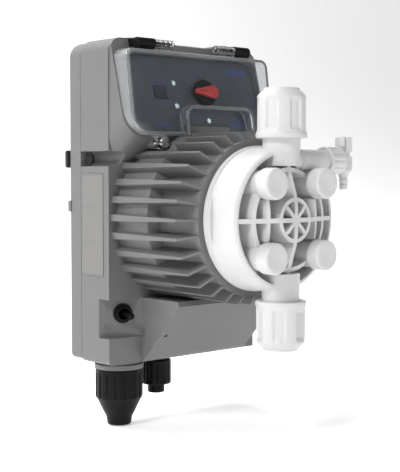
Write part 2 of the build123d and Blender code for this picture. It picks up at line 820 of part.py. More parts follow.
# ---------------------------------------------------------------- cable entries
gland_flange_z = case_bottom - 0.02
gland_cap_z = -113.7
gland_bottom = -144.8
gland_bore_r = 4.0
with BuildPart() as gland_body:
    with BuildSketch(Plane.XY.offset(gland_flange_z)):
        with Locations((gland_x, gland_y)):
            Circle(11.6)
    extrude(amount=-1.6)
    with BuildSketch(Plane.XY.offset(gland_flange_z - 1.6)):
        with Locations((gland_x, gland_y)):
            Circle(13.4)
    extrude(amount=-2.5)
    with BuildSketch(Plane.XY.offset(case_bottom + wall + 6)):
        with Locations((gland_x, gland_y)):
            Circle(gland_thread_r)
    extrude(amount=-30)
    with BuildSketch(Plane.XY.offset(case_bottom + wall + 7)):
        with Locations((gland_x, gland_y)):
            Circle(6.6)
    extrude(amount=-40, mode=Mode.SUBTRACT)
gland_body.part.label = "gland_body"
export_step(gland_body.part, "parts/gland_body.step")

with BuildPart() as gland_locknut:
    with BuildSketch(Plane.XY.offset(case_bottom + wall + 0.02)):
        with Locations((gland_x, gland_y)):
            RegularPolygon(12.4, 6)
            Circle(gland_thread_r + 0.05, mode=Mode.SUBTRACT)
    extrude(amount=4)
gland_locknut.part.label = "gland_locknut"
export_step(gland_locknut.part, "parts/gland_locknut.step")

gland_nut_plane = Plane(origin=(gland_x, gland_y, 0), x_dir=(1, 0, 0), z_dir=(0, -1, 0))
gland_axis = Axis((gland_x, gland_y, 0), (0, 0, 1))
with BuildPart() as gland_nut:
    with BuildSketch(gland_nut_plane):
        Polygon(
            (gland_thread_r + 0.06, gland_cap_z),
            (12.9, gland_cap_z),
            (12.9, -129.3),
            (11.6, -131.2),
            (8.0, -138.4),
            (7.2, -140.2),
            (6.4, gland_bottom),
            (gland_bore_r + 0.6, gland_bottom),
            (gland_bore_r + 0.6, -139.4),
            (gland_thread_r + 0.06, -136.25),
            align=None,
        )
    revolve(axis=gland_axis)
    # Grip flats round the body.
    with BuildSketch(Plane.XY.offset(gland_cap_z - 2)):
        with Locations((gland_x, gland_y)):
            with PolarLocations(13.4, 16):
                Circle(0.8)
    extrude(amount=-14, mode=Mode.SUBTRACT)
gland_nut.part.label = "gland_nut"
export_step(gland_nut.part, "parts/gland_nut.step")

with BuildPart() as gland_seal:
    with BuildSketch(gland_nut_plane):
        Polygon(
            (gland_bore_r, -127.0),
            (6.5, -127.0),
            (6.5, -133.8),
            (9.0, -134.0),
            (9.0, -136.2),
            (gland_bore_r + 0.9, -138.8),
            (gland_bore_r, -138.8),
            align=None,
        )
    revolve(axis=gland_axis)
gland_seal.part.label = "gland_seal"
export_step(gland_seal.part, "parts/gland_seal.step")

with BuildPart() as signal_port:
    with BuildSketch(Plane.XY.offset(case_bottom - 0.02)):
        with Locations((port_x, gland_y)):
            Circle(7.4)
    extrude(amount=-2.6)
    with BuildSketch(Plane.XY.offset(case_bottom - 2.62)):
        with Locations((port_x, gland_y)):
            Circle(8.4)
    extrude(amount=-13.6)
    chamfer(signal_port.edges().filter_by(GeomType.CIRCLE).sort_by(Axis.Z)[0], 0.9)
    with BuildSketch(Plane.XY.offset(case_bottom + wall + 5)):
        with Locations((port_x, gland_y)):
            Circle(5.9)
    extrude(amount=-10)
    with BuildSketch(Plane.XY.offset(case_bottom - 10)):
        with Locations((port_x, gland_y)):
            Circle(3.0)
    extrude(amount=-10, mode=Mode.SUBTRACT)
    with BuildSketch(Plane.XY.offset(case_bottom - 4)):
        with Locations((port_x, gland_y)):
            with PolarLocations(8.7, 14):
                Circle(0.6)
    extrude(amount=-10, mode=Mode.SUBTRACT)
signal_port.part.label = "signal_port"
export_step(signal_port.part, "parts/signal_port.step")

with BuildPart() as signal_plug:
    with BuildSketch(Plane.XY.offset(case_bottom - 11)):
        with Locations((port_x, gland_y)):
            Circle(2.9)
    extrude(amount=-6)
    with BuildSketch(Plane.XY.offset(case_bottom - 16.3)):
        with Locations((port_x, gland_y)):
            Circle(4.7)
    extrude(amount=-4.9)
    chamfer(signal_plug.edges().filter_by(GeomType.CIRCLE).sort_by(Axis.Z)[0], 0.8)
signal_plug.part.label = "signal_plug"
export_step(signal_plug.part, "parts/signal_plug.step")

# ---------------------------------------------------------------- power board
power_depth = back_depth + wall + 15.0
with BuildPart() as power_board:
    with BuildSketch(front_plane(power_depth + 0.02)):
        with Locations((0, -74)):
            Rectangle(case_w - 47, 48)
    extrude(amount=1.6)
power_board.part.label = "power_board"
export_step(power_board.part, "parts/power_board.step")

with BuildPart() as terminal_block:
    with BuildSketch(front_plane(power_depth + 1.62)):
        with Locations((-case_half + 39.5, -91)):
            Rectangle(26, 11)
    extrude(amount=10)
    with BuildSketch(front_plane(power_depth + 8)):
        with Locations((-case_half + 39.5, -91)):
            with GridLocations(8.5, 0, 3, 1):
                Circle(2.2)
    extrude(amount=8, mode=Mode.SUBTRACT)
terminal_block.part.label = "terminal_block"
export_step(terminal_block.part, "parts/terminal_block.step")

with BuildPart() as filter_capacitor:
    with BuildSketch(front_plane(power_depth + 1.62)):
        with Locations((17, -90)):
            Circle(7)
    extrude(amount=12)
    chamfer(filter_capacitor.faces().sort_by(Axis.Y)[0].edges(), 0.6)
filter_capacitor.part.label = "filter_capacitor"
export_step(filter_capacitor.part, "parts/filter_capacitor.step")

# ---------------------------------------------------------------- solenoid
yoke_open = cavity_front + 2.6
disc_front = yoke_open + 8.0
spool_start = yoke_open + 10.0
spool_end = bore_end - 6.5
with BuildPart() as solenoid_yoke:
    with BuildSketch(axis_plane):
        Polygon(
            (4.7, bore_end - 6),
            (32.2, bore_end - 6),
            (32.2, yoke_open),
            (bore_r - 0.1, yoke_open),
            (bore_r - 0.1, bore_end - 0.05),
            (4.7, bore_end - 0.05),
            align=None,
        )
    revolve(axis=pump_axis)
solenoid_yoke.part.label = "solenoid_yoke"
export_step(solenoid_yoke.part, "parts/solenoid_yoke.step")

with BuildPart() as coil_bobbin:
    with BuildSketch(axis_plane):
        Polygon(
            (10.3, spool_start),
            (31.9, spool_start),
            (31.9, spool_start + 1.6),
            (12, spool_start + 1.6),
            (12, spool_end - 1.6),
            (31.9, spool_end - 1.6),
            (31.9, spool_end + 0.4),
            (10.3, spool_end + 0.4),
            align=None,
        )
    revolve(axis=pump_axis)
coil_bobbin.part.label = "coil_bobbin"
export_step(coil_bobbin.part, "parts/coil_bobbin.step")

with BuildPart() as coil_winding:
    with BuildSketch(axis_plane):
        Polygon(
            (12.1, spool_start + 1.7),
            (29.5, spool_start + 1.7),
            (29.5, spool_end - 1.7),
            (12.1, spool_end - 1.7),
            align=None,
        )
    revolve(axis=pump_axis)
coil_winding.part.label = "coil_winding"
export_step(coil_winding.part, "parts/coil_winding.step")

with BuildPart() as pole_piece:
    with BuildSketch(axis_plane):
        Polygon(
            (4.7, spool_start + 9),
            (8.6, spool_start + 9),
            (8.6, spool_start + 1),
            (10.2, spool_start + 1),
            (10.2, bore_end - 6.05),
            (4.7, bore_end - 6.05),
            align=None,
        )
    revolve(axis=pump_axis)
pole_piece.part.label = "pole_piece"
export_step(pole_piece.part, "parts/pole_piece.step")

with BuildPart() as clamp_plate:
    with BuildSketch(pump_plane(yoke_open - 3.05)):
        Circle(bore_r - 0.1)
        with Locations((0, 0)):
            Circle(5, mode=Mode.SUBTRACT)
        with PolarLocations(22, 3):
            Circle(4, mode=Mode.SUBTRACT)
    extrude(amount=3)
clamp_plate.part.label = "clamp_plate"
export_step(clamp_plate.part, "parts/clamp_plate.step")

with BuildPart() as armature_bumper:
    with BuildSketch(pump_plane(yoke_open)):
        Circle(9)
    extrude(amount=1.9)
    with BuildSketch(pump_plane(yoke_open - 2.5)):
        Circle(4.9)
    extrude(amount=2.6)
armature_bumper.part.label = "armature_bumper"
export_step(armature_bumper.part, "parts/armature_bumper.step")

with BuildPart() as plunger:
    with BuildSketch(axis_plane):
        Polygon(
            (0, yoke_open + 2),
            (29, yoke_open + 2),
            (31.2, yoke_open + 3.5),
            (31.2, disc_front),
            (shaft_r, disc_front),
            (shaft_r, barrel_depth - 3.1),
            (2.4, barrel_depth - 3.1),
            (2.4, barrel_depth + 1.1),
            (0, barrel_depth + 1.1),
            align=None,
        )
    revolve(axis=pump_axis)
plunger.part.label = "plunger"
export_step(plunger.part, "parts/plunger.step")

spring_free_start = disc_front + 0.85
with BuildPart() as return_spring:
    with BuildLine():
        coil = Helix(
            pitch=2.2,
            height=9.3,
            radius=6.4,
            center=(axis_x, -spring_free_start, axis_z),
            direction=(0, -1, 0),
        )
    with BuildSketch(Plane(origin=coil @ 0, z_dir=coil % 0)):
        Circle(0.7)
    sweep(path=coil, is_frenet=True)
return_spring.part.label = "return_spring"
export_step(return_spring.part, "parts/return_spring.step")

with BuildPart() as shaft_bush:
    with BuildSketch(axis_plane):
        Polygon(
            (shaft_r + running, bore_end),
            (6.9, bore_end),
            (6.9, barrel_depth - 3.5),
            (shaft_r + running, barrel_depth - 3.5),
            align=None,
        )
    revolve(axis=pump_axis)
shaft_bush.part.label = "shaft_bush"
export_step(shaft_bush.part, "parts/shaft_bush.step")

with BuildPart() as support_plate:
    with BuildSketch(axis_plane):
        Polygon(
            (2.45, barrel_depth - 3.05),
            (15, barrel_depth - 3.05),
            (16, barrel_depth - 2.3),
            (16, barrel_depth - 1.8),
            (2.45, barrel_depth - 1.8),
            align=None,
        )
    revolve(axis=pump_axis)
support_plate.part.label = "support_plate"
export_step(support_plate.part, "parts/support_plate.step")

with BuildPart() as diaphragm:
    with BuildSketch(axis_plane):
        Polygon(
            (2.45, barrel_depth - 1.75),
            (15.5, barrel_depth - 1.75),
            (17.5, barrel_depth + 0.03),
            (22.6, barrel_depth + 0.03),
            (22.6, barrel_depth + 1.5),
            (17.5, barrel_depth + 1.5),
            (15.8, barrel_depth - 0.6),
            (12, barrel_depth - 0.6),
            (10, barrel_depth + 1.6),
            (0, barrel_depth + 2.2),
            (0, barrel_depth + 1.2),
            (2.45, barrel_depth + 1.2),
            align=None,
        )
    revolve(axis=pump_axis)
diaphragm.part.label = "diaphragm"
export_step(diaphragm.part, "parts/diaphragm.step")

# ---------------------------------------------------------------- pump head
# Rib grid of the head, rising as a shallow dome to the hub.
with BuildPart() as rib_grid:
    with BuildSketch(pump_plane(floor_depth - 1)):
        Circle(ring_in_r + 1)
        Circle(ring_in_r, mode=Mode.SUBTRACT)
        Circle(26.2)
        Circle(24.0, mode=Mode.SUBTRACT)
        Circle(11.3)
        Circle(9.4, mode=Mode.SUBTRACT)
        Rectangle(2 * ring_in_r + 1, rib_t)
        Rectangle(rib_t, 2 * ring_in_r + 1)
        Rectangle(20, 1.9, rotation=45)
        Rectangle(20, 1.9, rotation=-45)
        with Locations((-17.2, 0), (17.2, 0)):
            Rectangle(1.8, 20.4)
    extrude(amount=30)
    with BuildSketch(axis_plane):
        Polygon(
            (0, barrel_depth - 6.5),
            (ring_in_r + 1.5, barrel_depth - 6.5),
            (ring_in_r + 1.5, ring_depth - 0.6),
            (23, hub_depth - 4.3),
            (12.5, hub_depth - 0.9),
            (7, hub_depth),
            (0, hub_depth),
            align=None,
        )
    revolve(axis=pump_axis, mode=Mode.INTERSECT)



with BuildPart() as pump_head:
    with BuildSketch(axis_plane):
        Polygon(
            (0, barrel_depth + 0.03),
            (head_rim_r - 0.6, barrel_depth + 0.03),
            (head_rim_r, barrel_depth + 0.8),
            (head_rim_r, barrel_depth + 3.0),
            (head_rim_r - 0.9, barrel_depth + 3.6),
            (ring_out_r + 0.6, ring_depth - 8),
            (ring_out_r, ring_depth - 1.2),
            (ring_out_r - 1, ring_depth),
            (ring_in_r + 0.2, ring_depth),
            (ring_in_r, ring_depth - 0.6),
            (ring_in_r, floor_depth),
            (0, floor_depth),
            align=None,
        )
    revolve(axis=pump_axis)
    # Ledges above and below the middle, over the liquid passages.
    with BuildSketch(pump_plane(floor_depth - 1)):
        with Locations((0, 24), (0, -24)):
            Rectangle(19, 21.6)
    extrude(amount=ledge_depth - floor_depth + 1)
    add(rib_grid.part)
    # Bosses of the four head screws.
    with BuildSketch(pump_plane(floor_depth - 1)):
        with GridLocations(bolt_pitch, bolt_pitch, 2, 2):
            Circle(boss_r)
    extrude(amount=boss_depth - floor_depth + 1)
    # Flat pocket in each side of the drum.
    with BuildSketch(Plane.YZ.offset(axis_x - ring_out_r + 1.1)):
        with Locations((-floor_depth - 0.6, axis_z)):
            Rectangle(13.5, 50)
    extrude(amount=-6, mode=Mode.SUBTRACT)
    with BuildSketch(Plane.YZ.offset(axis_x + ring_out_r - 1.1)):
        with Locations((-floor_depth - 0.6, axis_z)):
            Rectangle(13.5, 50)
    extrude(amount=6, mode=Mode.SUBTRACT)
    # Necks for the two union nuts.
    for sign in (-1, 1):
        with BuildSketch(Plane.XY.offset(axis_z + sign * 27)):
            with Locations((axis_x, -neck_depth)):
                Circle(neck_r)
                with Locations((0, 4.5)):
                    Rectangle(2 * neck_r, 9)
        extrude(amount=sign * 8.5)
        with BuildSketch(Plane.XY.offset(axis_z + sign * 35)):
            with Locations((axis_x, -neck_depth)):
                Circle(neck_r)
        extrude(amount=sign * (neck_end - 35))
        # Round thread of the neck, seen as three grooves under the nut.
        for groove in (44, 47.2, 50.4):
            with BuildSketch(Plane.XY.offset(axis_z + sign * groove)):
                with Locations((axis_x, -neck_depth)):
                    Circle(neck_r + 1)
                    Circle(neck_r - 0.6, mode=Mode.SUBTRACT)
            extrude(amount=sign * 1.4, mode=Mode.SUBTRACT)
        with BuildSketch(Plane.XY.offset(axis_z + sign * (neck_end + 1))):
            with Locations((axis_x, -neck_depth)):
                Circle(valve_bore_r)
        extrude(amount=-sign * (neck_end + 1 - valve_bore_in), mode=Mode.SUBTRACT)
        # Drilled passage from the valve to the chamber.
        start = Vector(axis_x, -neck_depth + 1.5, axis_z + sign * (valve_bore_in + 0.5))
        end = Vector(axis_x, -barrel_depth - 2, axis_z + sign * 14)
        with BuildSketch(Plane(origin=start, z_dir=end - start)):
            Circle(2.2)
        extrude(amount=(end - start).length, mode=Mode.SUBTRACT)
    # Diaphragm seat and chamber, open to the rear.
    with BuildSketch(pump_plane(barrel_depth - 1)):
        Circle(22.7)
    extrude(amount=2.53, mode=Mode.SUBTRACT)
    with BuildSketch(pump_plane(barrel_depth + 1)):
        Circle(17.6)
    extrude(amount=2.7, mode=Mode.SUBTRACT)
    # Holes for the head screws with counterbores for their heads.
    with BuildSketch(pump_plane(barrel_depth - 1)):
        with GridLocations(bolt_pitch, bolt_pitch, 2, 2):
            Circle(2.25)
    extrude(amount=40, mode=Mode.SUBTRACT)
    with BuildSketch(pump_plane(boss_depth - 6.5)):
        with GridLocations(bolt_pitch, bolt_pitch, 2, 2):
            Circle(4.1)
    extrude(amount=20, mode=Mode.SUBTRACT)
    # Passage through the ring for the bleed valve.
    with BuildSketch(Plane.YZ.offset(axis_x + neck_r + 1.5)):
        with Locations((-neck_depth, axis_z + 29.8)):
            Circle(5.8)
    extrude(amount=20, mode=Mode.SUBTRACT)
    # Threaded seat for the bleed valve, drilled into the upper neck.
    with BuildSketch(Plane.YZ.offset(axis_x + neck_r - 3)):
        with Locations((-neck_depth, axis_z + 29.8)):
            Circle(5.2)
    extrude(amount=4.5)
    with BuildSketch(Plane.YZ.offset(axis_x + 3)):
        with Locations((-neck_depth, axis_z + 29.8)):
            Circle(1.2)
    extrude(amount=12, mode=Mode.SUBTRACT)
    with BuildSketch(Plane.XY.offset(axis_z + 29.2)):
        with Locations((axis_x + 3.6, -neck_depth)):
            Circle(1.1)
    extrude(amount=6, mode=Mode.SUBTRACT)
pump_head.part.label = "pump_head"
export_step(pump_head.part, "parts/pump_head.step")

with BuildPart() as head_screws:
    with BuildSketch(pump_plane(boss_depth - 6.45)):
        with GridLocations(bolt_pitch, bolt_pitch, 2, 2):
            Circle(3.5)
    extrude(amount=4)
    with BuildSketch(pump_plane(bore_end + 2)):
        with GridLocations(bolt_pitch, bolt_pitch, 2, 2):
            Circle(2)
    extrude(amount=boss_depth - 6.4 - bore_end - 2)
    with BuildSketch(pump_plane(boss_depth - 5)):
        with GridLocations(bolt_pitch, bolt_pitch, 2, 2):
            RegularPolygon(1.7, 6)
    extrude(amount=5, mode=Mode.SUBTRACT)
head_screws.part.label = "head_screws"
export_step(head_screws.part, "parts/head_screws.step")

with BuildPart() as bolt_caps:
    with BuildSketch(pump_plane(boss_depth + 0.02)):
        with GridLocations(bolt_pitch, bolt_pitch, 2, 2):
            Circle(cap_r)
    extrude(amount=cap_depth - boss_depth - 0.02)
    chamfer(bolt_caps.faces().sort_by(Axis.Y)[0:4].edges(), 1.7)
    with BuildSketch(pump_plane(boss_depth - 2)):
        with GridLocations(bolt_pitch, bolt_pitch, 2, 2):
            Circle(4.05)
            Circle(3.2, mode=Mode.SUBTRACT)
    extrude(amount=2.5)
bolt_caps.part.label = "bolt_caps"
export_step(bolt_caps.part, "parts/bolt_caps.step")


# ---------------------------------------------------------------- check valves
neck_axis = Axis((axis_x, -neck_depth, 0), (0, 0, 1))
ball_drop = math.sqrt(ball_r**2 - seat_hole_r**2) + 0.02
cage_r = valve_bore_r - 0.08
cage_bore = ball_r + 0.1


neck_section = Plane(origin=(axis_x, -neck_depth, axis_z), x_dir=(1, 0, 0), z_dir=(0, -1, 0))


def neck_profile(points):
    with BuildSketch(neck_section) as sketch:
        Polygon(*points, align=None)
    return sketch.sketch


def build_valve(name, seat_low, cage_top):
    """Seat, ball and cage stacked along Z; the ball lifts upwards."""
    seat_top = seat_low + seat_h
    ball_z = seat_top + ball_drop
    roof = ball_z + ball_r + ball_lift + 0.05
    with BuildPart() as seat:
        revolve(
            neck_profile(
                [
                    (seat_hole_r, seat_low),
                    (cage_r, seat_low),
                    (cage_r, seat_top),
                    (seat_hole_r, seat_top),
                ]
            ),
            axis=neck_axis,
        )
    seat.part.label = name + "_seat"
    export_step(seat.part, "parts/" + name + "_seat.step")
    with BuildPart() as ball:
        with Locations((axis_x, -neck_depth, axis_z + ball_z)):
            Sphere(ball_r)
    ball.part.label = name + "_ball"
    export_step(ball.part, "parts/" + name + "_ball.step")
    with BuildPart() as cage:
        revolve(
            neck_profile(
                [
                    (cage_bore, seat_top + 0.02),
                    (cage_r, seat_top + 0.02),
                    (cage_r, cage_top),
                    (0, cage_top),
                    (0, roof),
                    (cage_bore, roof),
                ]
            ),
            axis=neck_axis,
        )
        with BuildSketch(Plane.XY.offset(axis_z + roof - 1)):
            with Locations((axis_x, -neck_depth)):
                with PolarLocations(3.4, 4):
                    Circle(1.3)
        extrude(amount=cage_top - roof + 2, mode=Mode.SUBTRACT)
    cage.part.label = name + "_cage"
    export_step(cage.part, "parts/" + name + "_cage.step")
    return ball_z


valve_len = neck_end - valve_bore_in
discharge_ball_z = build_valve("discharge", valve_bore_in + 0.05, neck_end - 3.3)
suction_ball_z = build_valve("suction", -neck_end + 3.3, -valve_bore_in - 0.05)


def build_neck_ring(name, low):
    with BuildPart() as ring:
        with BuildSketch(neck_section):
            with Locations((4.6, low + 1.6)):
                Circle(1.3)
        revolve(axis=neck_axis)
    ring.part.label = name
    export_step(ring.part, "parts/" + name + ".step")


build_neck_ring("discharge_seal", neck_end - 3.1)
build_neck_ring("suction_seal", -neck_end - 0.1)


# Hose tails clamped by the union nuts.
def build_tail(name, sign):
    top = nut_high + 0.4
    with BuildPart() as tail:
        revolve(
            neck_profile(
                [
                    (3.0, sign * (neck_end + 0.05)),
                    (9.3, sign * (neck_end + 0.05)),
                    (9.3, sign * (neck_end + 2.4)),
                    (5.0, sign * (neck_end + 3.2)),
                    (5.0, sign * (neck_end + 7.0)),
                    (6.0, sign * (neck_end + 7.8)),
                    (6.0, sign * (neck_end + 8.6)),
                    (4.4, sign * top),
                    (3.0, sign * top),
                ]
            ),
            axis=neck_axis,
        )
    tail.part.label = name
    export_step(tail.part, "parts/" + name + ".step")


build_tail("discharge_tail", 1)
build_tail("suction_tail", -1)


# Union nuts: six recessed flutes between broad ribs.
def build_nut(name, sign):
    with BuildPart() as nut:
        revolve(
            neck_profile(
                [
                    (9.75, sign * nut_low),
                    (nut_skirt_r, sign * nut_low),
                    (nut_skirt_r, sign * (nut_low + 2.2)),
                    (nut_skirt_r - 0.45, sign * (nut_low + 3.2)),
                    (nut_end_r, sign * (nut_high - 4.2)),
                    (nut_end_r - 2.4, sign * (nut_high - 1.6)),
                    (nut_end_r - 3.0, sign * (nut_high - 1.5)),
                    (nut_end_r - 3.2, sign * nut_high),
                    (7.0, sign * nut_high),
                    (7.0, sign * (nut_high - 6.5)),
                    (9.75, sign * (nut_high - 8.5)),
                ]
            ),
            axis=neck_axis,
        )
        with BuildSketch(Plane.XY.offset(axis_z + sign * (nut_low + 4.2))):
            with Locations((axis_x, -neck_depth)):
                with PolarLocations(nut_end_r + 3.35, 6, start_angle=20):
                    Circle(4.4)
        extrude(amount=sign * 15.6, mode=Mode.SUBTRACT)
    nut.part.label = name
    export_step(nut.part, "parts/" + name + ".step")


build_nut("discharge_nut", 1)
build_nut("suction_nut", -1)

# ---------------------------------------------------------------- bleed valve
bleed_z = axis_z + 29.8
bleed_start = axis_x + neck_r + 1.55
block_x = axis_x + 47.9
with BuildPart() as bleed_body:
    with BuildSketch(Plane.YZ.offset(bleed_start)):
        with Locations((-neck_depth, bleed_z)):
            Circle(5.7)
    extrude(amount=axis_x + 31.2 - bleed_start)
    with BuildSketch(Plane.YZ.offset(axis_x + 31)):
        with Locations((-neck_depth, bleed_z)):
            Circle(4.4)
    extrude(amount=block_x - axis_x - 31 - 3.6)
    # Upright barrel at the end, with the outlet barb below.
    with BuildSketch(Plane.XY.offset(bleed_z - 5)):
        with Locations((block_x, -neck_depth)):
            Circle(4.6)
    extrude(amount=7.5)
    with BuildSketch(Plane(origin=(block_x, -neck_depth, 0), x_dir=(1, 0, 0), z_dir=(0, -1, 0))):
        Polygon(
            (0, bleed_z - 4.5),
            (4.3, bleed_z - 4.5),
            (2.4, bleed_z - 8),
            (2.0, bleed_z - 9.6),
            (2.5, bleed_z - 9.8),
            (2.0, bleed_z - 12.4),
            (2.4, bleed_z - 12.6),
            (1.9, bleed_z - 15.2),
            (0, bleed_z - 15.2),
            align=None,
        )
    revolve(axis=Axis((block_x, -neck_depth, 0), (0, 0, 1)))
    with BuildSketch(Plane.XY.offset(bleed_z - 16)):
        with Locations((block_x, -neck_depth)):
            Circle(1.1)
    extrude(amount=14, mode=Mode.SUBTRACT)
    with BuildSketch(Plane.YZ.offset(bleed_start - 1)):
        with Locations((-neck_depth, bleed_z)):
            Circle(1.2)
    extrude(amount=block_x - bleed_start + 1, mode=Mode.SUBTRACT)
    with BuildSketch(Plane.XY.offset(bleed_z - 2.2)):
        with Locations((block_x, -neck_depth)):
            Circle(2.2)
    extrude(amount=8, mode=Mode.SUBTRACT)
bleed_body.part.label = "bleed_body"
export_step(bleed_body.part, "parts/bleed_body.step")

with BuildPart() as bleed_collar:
    with BuildSketch(Plane.YZ.offset(axis_x + 31.25)):
        with Locations((-neck_depth, bleed_z)):
            Circle(7.35)
    extrude(amount=11.6)
    chamfer(bleed_collar.edges().filter_by(GeomType.CIRCLE), 0.7)
    with BuildSketch(Plane.YZ.offset(axis_x + 30)):
        with Locations((-neck_depth, bleed_z)):
            Circle(4.45)
    extrude(amount=20, mode=Mode.SUBTRACT)
    with BuildSketch(Plane.YZ.offset(axis_x + 33)):
        with Locations((-neck_depth, bleed_z)):
            with PolarLocations(7.7, 12):
                Circle(0.8)
    extrude(amount=9, mode=Mode.SUBTRACT)
bleed_collar.part.label = "bleed_collar"
export_step(bleed_collar.part, "parts/bleed_collar.step")

with BuildPart() as bleed_knob:
    with BuildSketch(Plane.XY.offset(bleed_z + 2.6)):
        with Locations((block_x, -neck_depth)):
            Circle(3.4)
    extrude(amount=2.2)
    with BuildSketch(Plane.XY.offset(bleed_z + 4.7)):
        with Locations((block_x, -neck_depth)):
            Circle(4.5)
            with PolarLocations(4.9, 8):
                Circle(1.0, mode=Mode.SUBTRACT)
    extrude(amount=8)
    chamfer(bleed_knob.faces().sort_by(Axis.Z)[-1].edges(), 0.5)
    with BuildSketch(Plane.XY.offset(bleed_z - 1.6)):
        with Locations((block_x, -neck_depth)):
            Circle(2.15)
    extrude(amount=5)
    # Two grip wings.
    with BuildSketch(Plane.XY.offset(bleed_z + 7.7)):
        with Locations((block_x, -neck_depth)):
            Rectangle(13.5, 2.2, rotation=35)
    extrude(amount=5)
bleed_knob.part.label = "bleed_knob"
export_step(bleed_knob.part, "parts/bleed_knob.step")
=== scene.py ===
# %% [markdown]
# # A wall-hung diaphragm metering pump
#
# On the real pump a magnet pulls an armature, the armature works a diaphragm,
# and two ball valves let the liquid through one way only.
# Its solids come from a CAD model that is already in its real size.
# Image textures could dress them, but they blur up close and need unwrapping.
# Each finish here is a formula of the place on the object instead, so it stays
# sharp at any distance and comes out the same at every run.
# Lengths in the maths are millimetres, because the parts are small.
# The model itself is in metres, so every shape is scaled once at the end.

import json
import math

import bpy
import numpy as np
from mathutils import Matrix, Vector


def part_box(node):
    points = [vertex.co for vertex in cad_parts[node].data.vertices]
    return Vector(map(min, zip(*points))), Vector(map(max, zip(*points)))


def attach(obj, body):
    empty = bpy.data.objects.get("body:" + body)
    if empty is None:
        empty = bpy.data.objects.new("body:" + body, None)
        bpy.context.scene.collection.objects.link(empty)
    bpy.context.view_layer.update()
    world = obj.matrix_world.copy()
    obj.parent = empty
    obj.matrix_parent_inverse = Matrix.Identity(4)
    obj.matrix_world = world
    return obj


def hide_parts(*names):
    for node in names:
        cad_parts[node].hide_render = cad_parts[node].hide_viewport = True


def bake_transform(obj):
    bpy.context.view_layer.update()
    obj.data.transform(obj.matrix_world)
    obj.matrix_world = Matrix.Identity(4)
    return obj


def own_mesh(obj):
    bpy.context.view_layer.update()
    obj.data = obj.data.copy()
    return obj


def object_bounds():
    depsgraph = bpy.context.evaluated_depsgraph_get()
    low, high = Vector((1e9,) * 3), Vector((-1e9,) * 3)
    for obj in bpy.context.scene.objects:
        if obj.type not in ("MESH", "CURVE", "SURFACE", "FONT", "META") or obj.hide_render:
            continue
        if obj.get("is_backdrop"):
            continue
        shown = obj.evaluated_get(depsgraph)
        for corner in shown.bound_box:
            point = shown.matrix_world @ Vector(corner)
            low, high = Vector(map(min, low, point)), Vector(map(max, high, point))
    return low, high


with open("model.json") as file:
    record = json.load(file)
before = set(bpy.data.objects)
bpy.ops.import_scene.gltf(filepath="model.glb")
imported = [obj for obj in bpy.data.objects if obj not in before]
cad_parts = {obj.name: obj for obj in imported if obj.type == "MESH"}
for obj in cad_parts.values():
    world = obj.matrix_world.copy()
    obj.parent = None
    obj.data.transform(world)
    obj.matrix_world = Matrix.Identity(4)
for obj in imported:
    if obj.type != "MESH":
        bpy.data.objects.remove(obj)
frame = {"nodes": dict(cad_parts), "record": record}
box_before = [list(corner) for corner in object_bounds()]
nodes = frame["nodes"]
MM = 0.001
size = [round(high - low, 4) for low, high in zip(*box_before)]
print(len(nodes), "CAD nodes,", size, "metres in all")

# %% [markdown]
# ## Two axes
#
# The solenoid, the diaphragm and the head are turned about the pump axis,
# which runs towards the viewer, along -Y.
# The neck axis is vertical and carries both valves and both union nuts.
# "Depth" is the distance from the wall, so Y is minus the depth.
# Both places could be typed where they are used, but a named value is changed
# in one place only.

# %% Pump axis and neck axis
AXIS_X, AXIS_Z = -3.0, -30.9
NECK_DEPTH = 114.5
UP = np.array((0.0, 0.0, 1.0))
print("pump axis at x", AXIS_X, "z", AXIS_Z, "and neck axis at depth", NECK_DEPTH)

# %% [markdown]
# ## Shader arithmetic
#
# In Blender a material is a tree of nodes, mostly wired by hand in an editor.
# A long formula is hard to read that way.
# The class below wraps the output of a node, so a formula can be written as
# ordinary arithmetic: every operator adds one Math node and wraps its output.


# %% A socket that can be added, multiplied and compared
def binary(kind, flipped=False):
    """An operator that adds one Math node; flipped puts the other operand first."""

    def operate(self, other):
        pair = (other, self) if flipped else (self, other)
        return self.wiring.math(kind, *pair)

    return operate


class Value:
    """A number that varies over a surface, held as a node socket."""

    def __init__(self, wiring, socket):
        self.wiring = wiring
        self.socket = socket

    __add__ = __radd__ = binary("ADD")
    __sub__, __rsub__ = binary("SUBTRACT"), binary("SUBTRACT", flipped=True)
    __mul__ = __rmul__ = binary("MULTIPLY")
    __truediv__, __rtruediv__ = binary("DIVIDE"), binary("DIVIDE", flipped=True)
    __gt__, __lt__ = binary("GREATER_THAN"), binary("LESS_THAN")
    # The larger of two values joins two masks, and the smaller one overlaps them.
    __or__, __and__ = binary("MAXIMUM"), binary("MINIMUM")

    def abs(self):
        return self.wiring.math("ABSOLUTE", self)

    def sin(self):
        return self.wiring.math("SINE", self)

    def root(self):
        return self.wiring.math("SQRT", self)

    def to_whole(self):
        """Distance to the nearest whole number, from 0 to 0.5."""
        return self.wiring.math("PINGPONG", self, 0.5)

    def clamp(self, low=0.0, high=1.0):
        return (self | low) & high

    def near(self, target, width):
        """1 where the value is within width of target, falling to 0 at twice that."""
        return (2.0 - (self - target).abs() * (1.0 / width)).clamp()


def hypot(a, b):
    """sqrt(a^2 + b^2) of two values."""
    return (a * a + b * b).root()


print("a Value can also", ", ".join(k for k in vars(Value) if k[0] != "_"))

# %% [markdown]
# ## One place that adds nodes
#
# A material and the sky are both node trees.
# Nodes could be added wherever they are wanted, with each link written out.
# Here one method adds every node, so that each is one line that names its
# settings and its inputs.
# The settings come first, because some of them change which sockets there are.


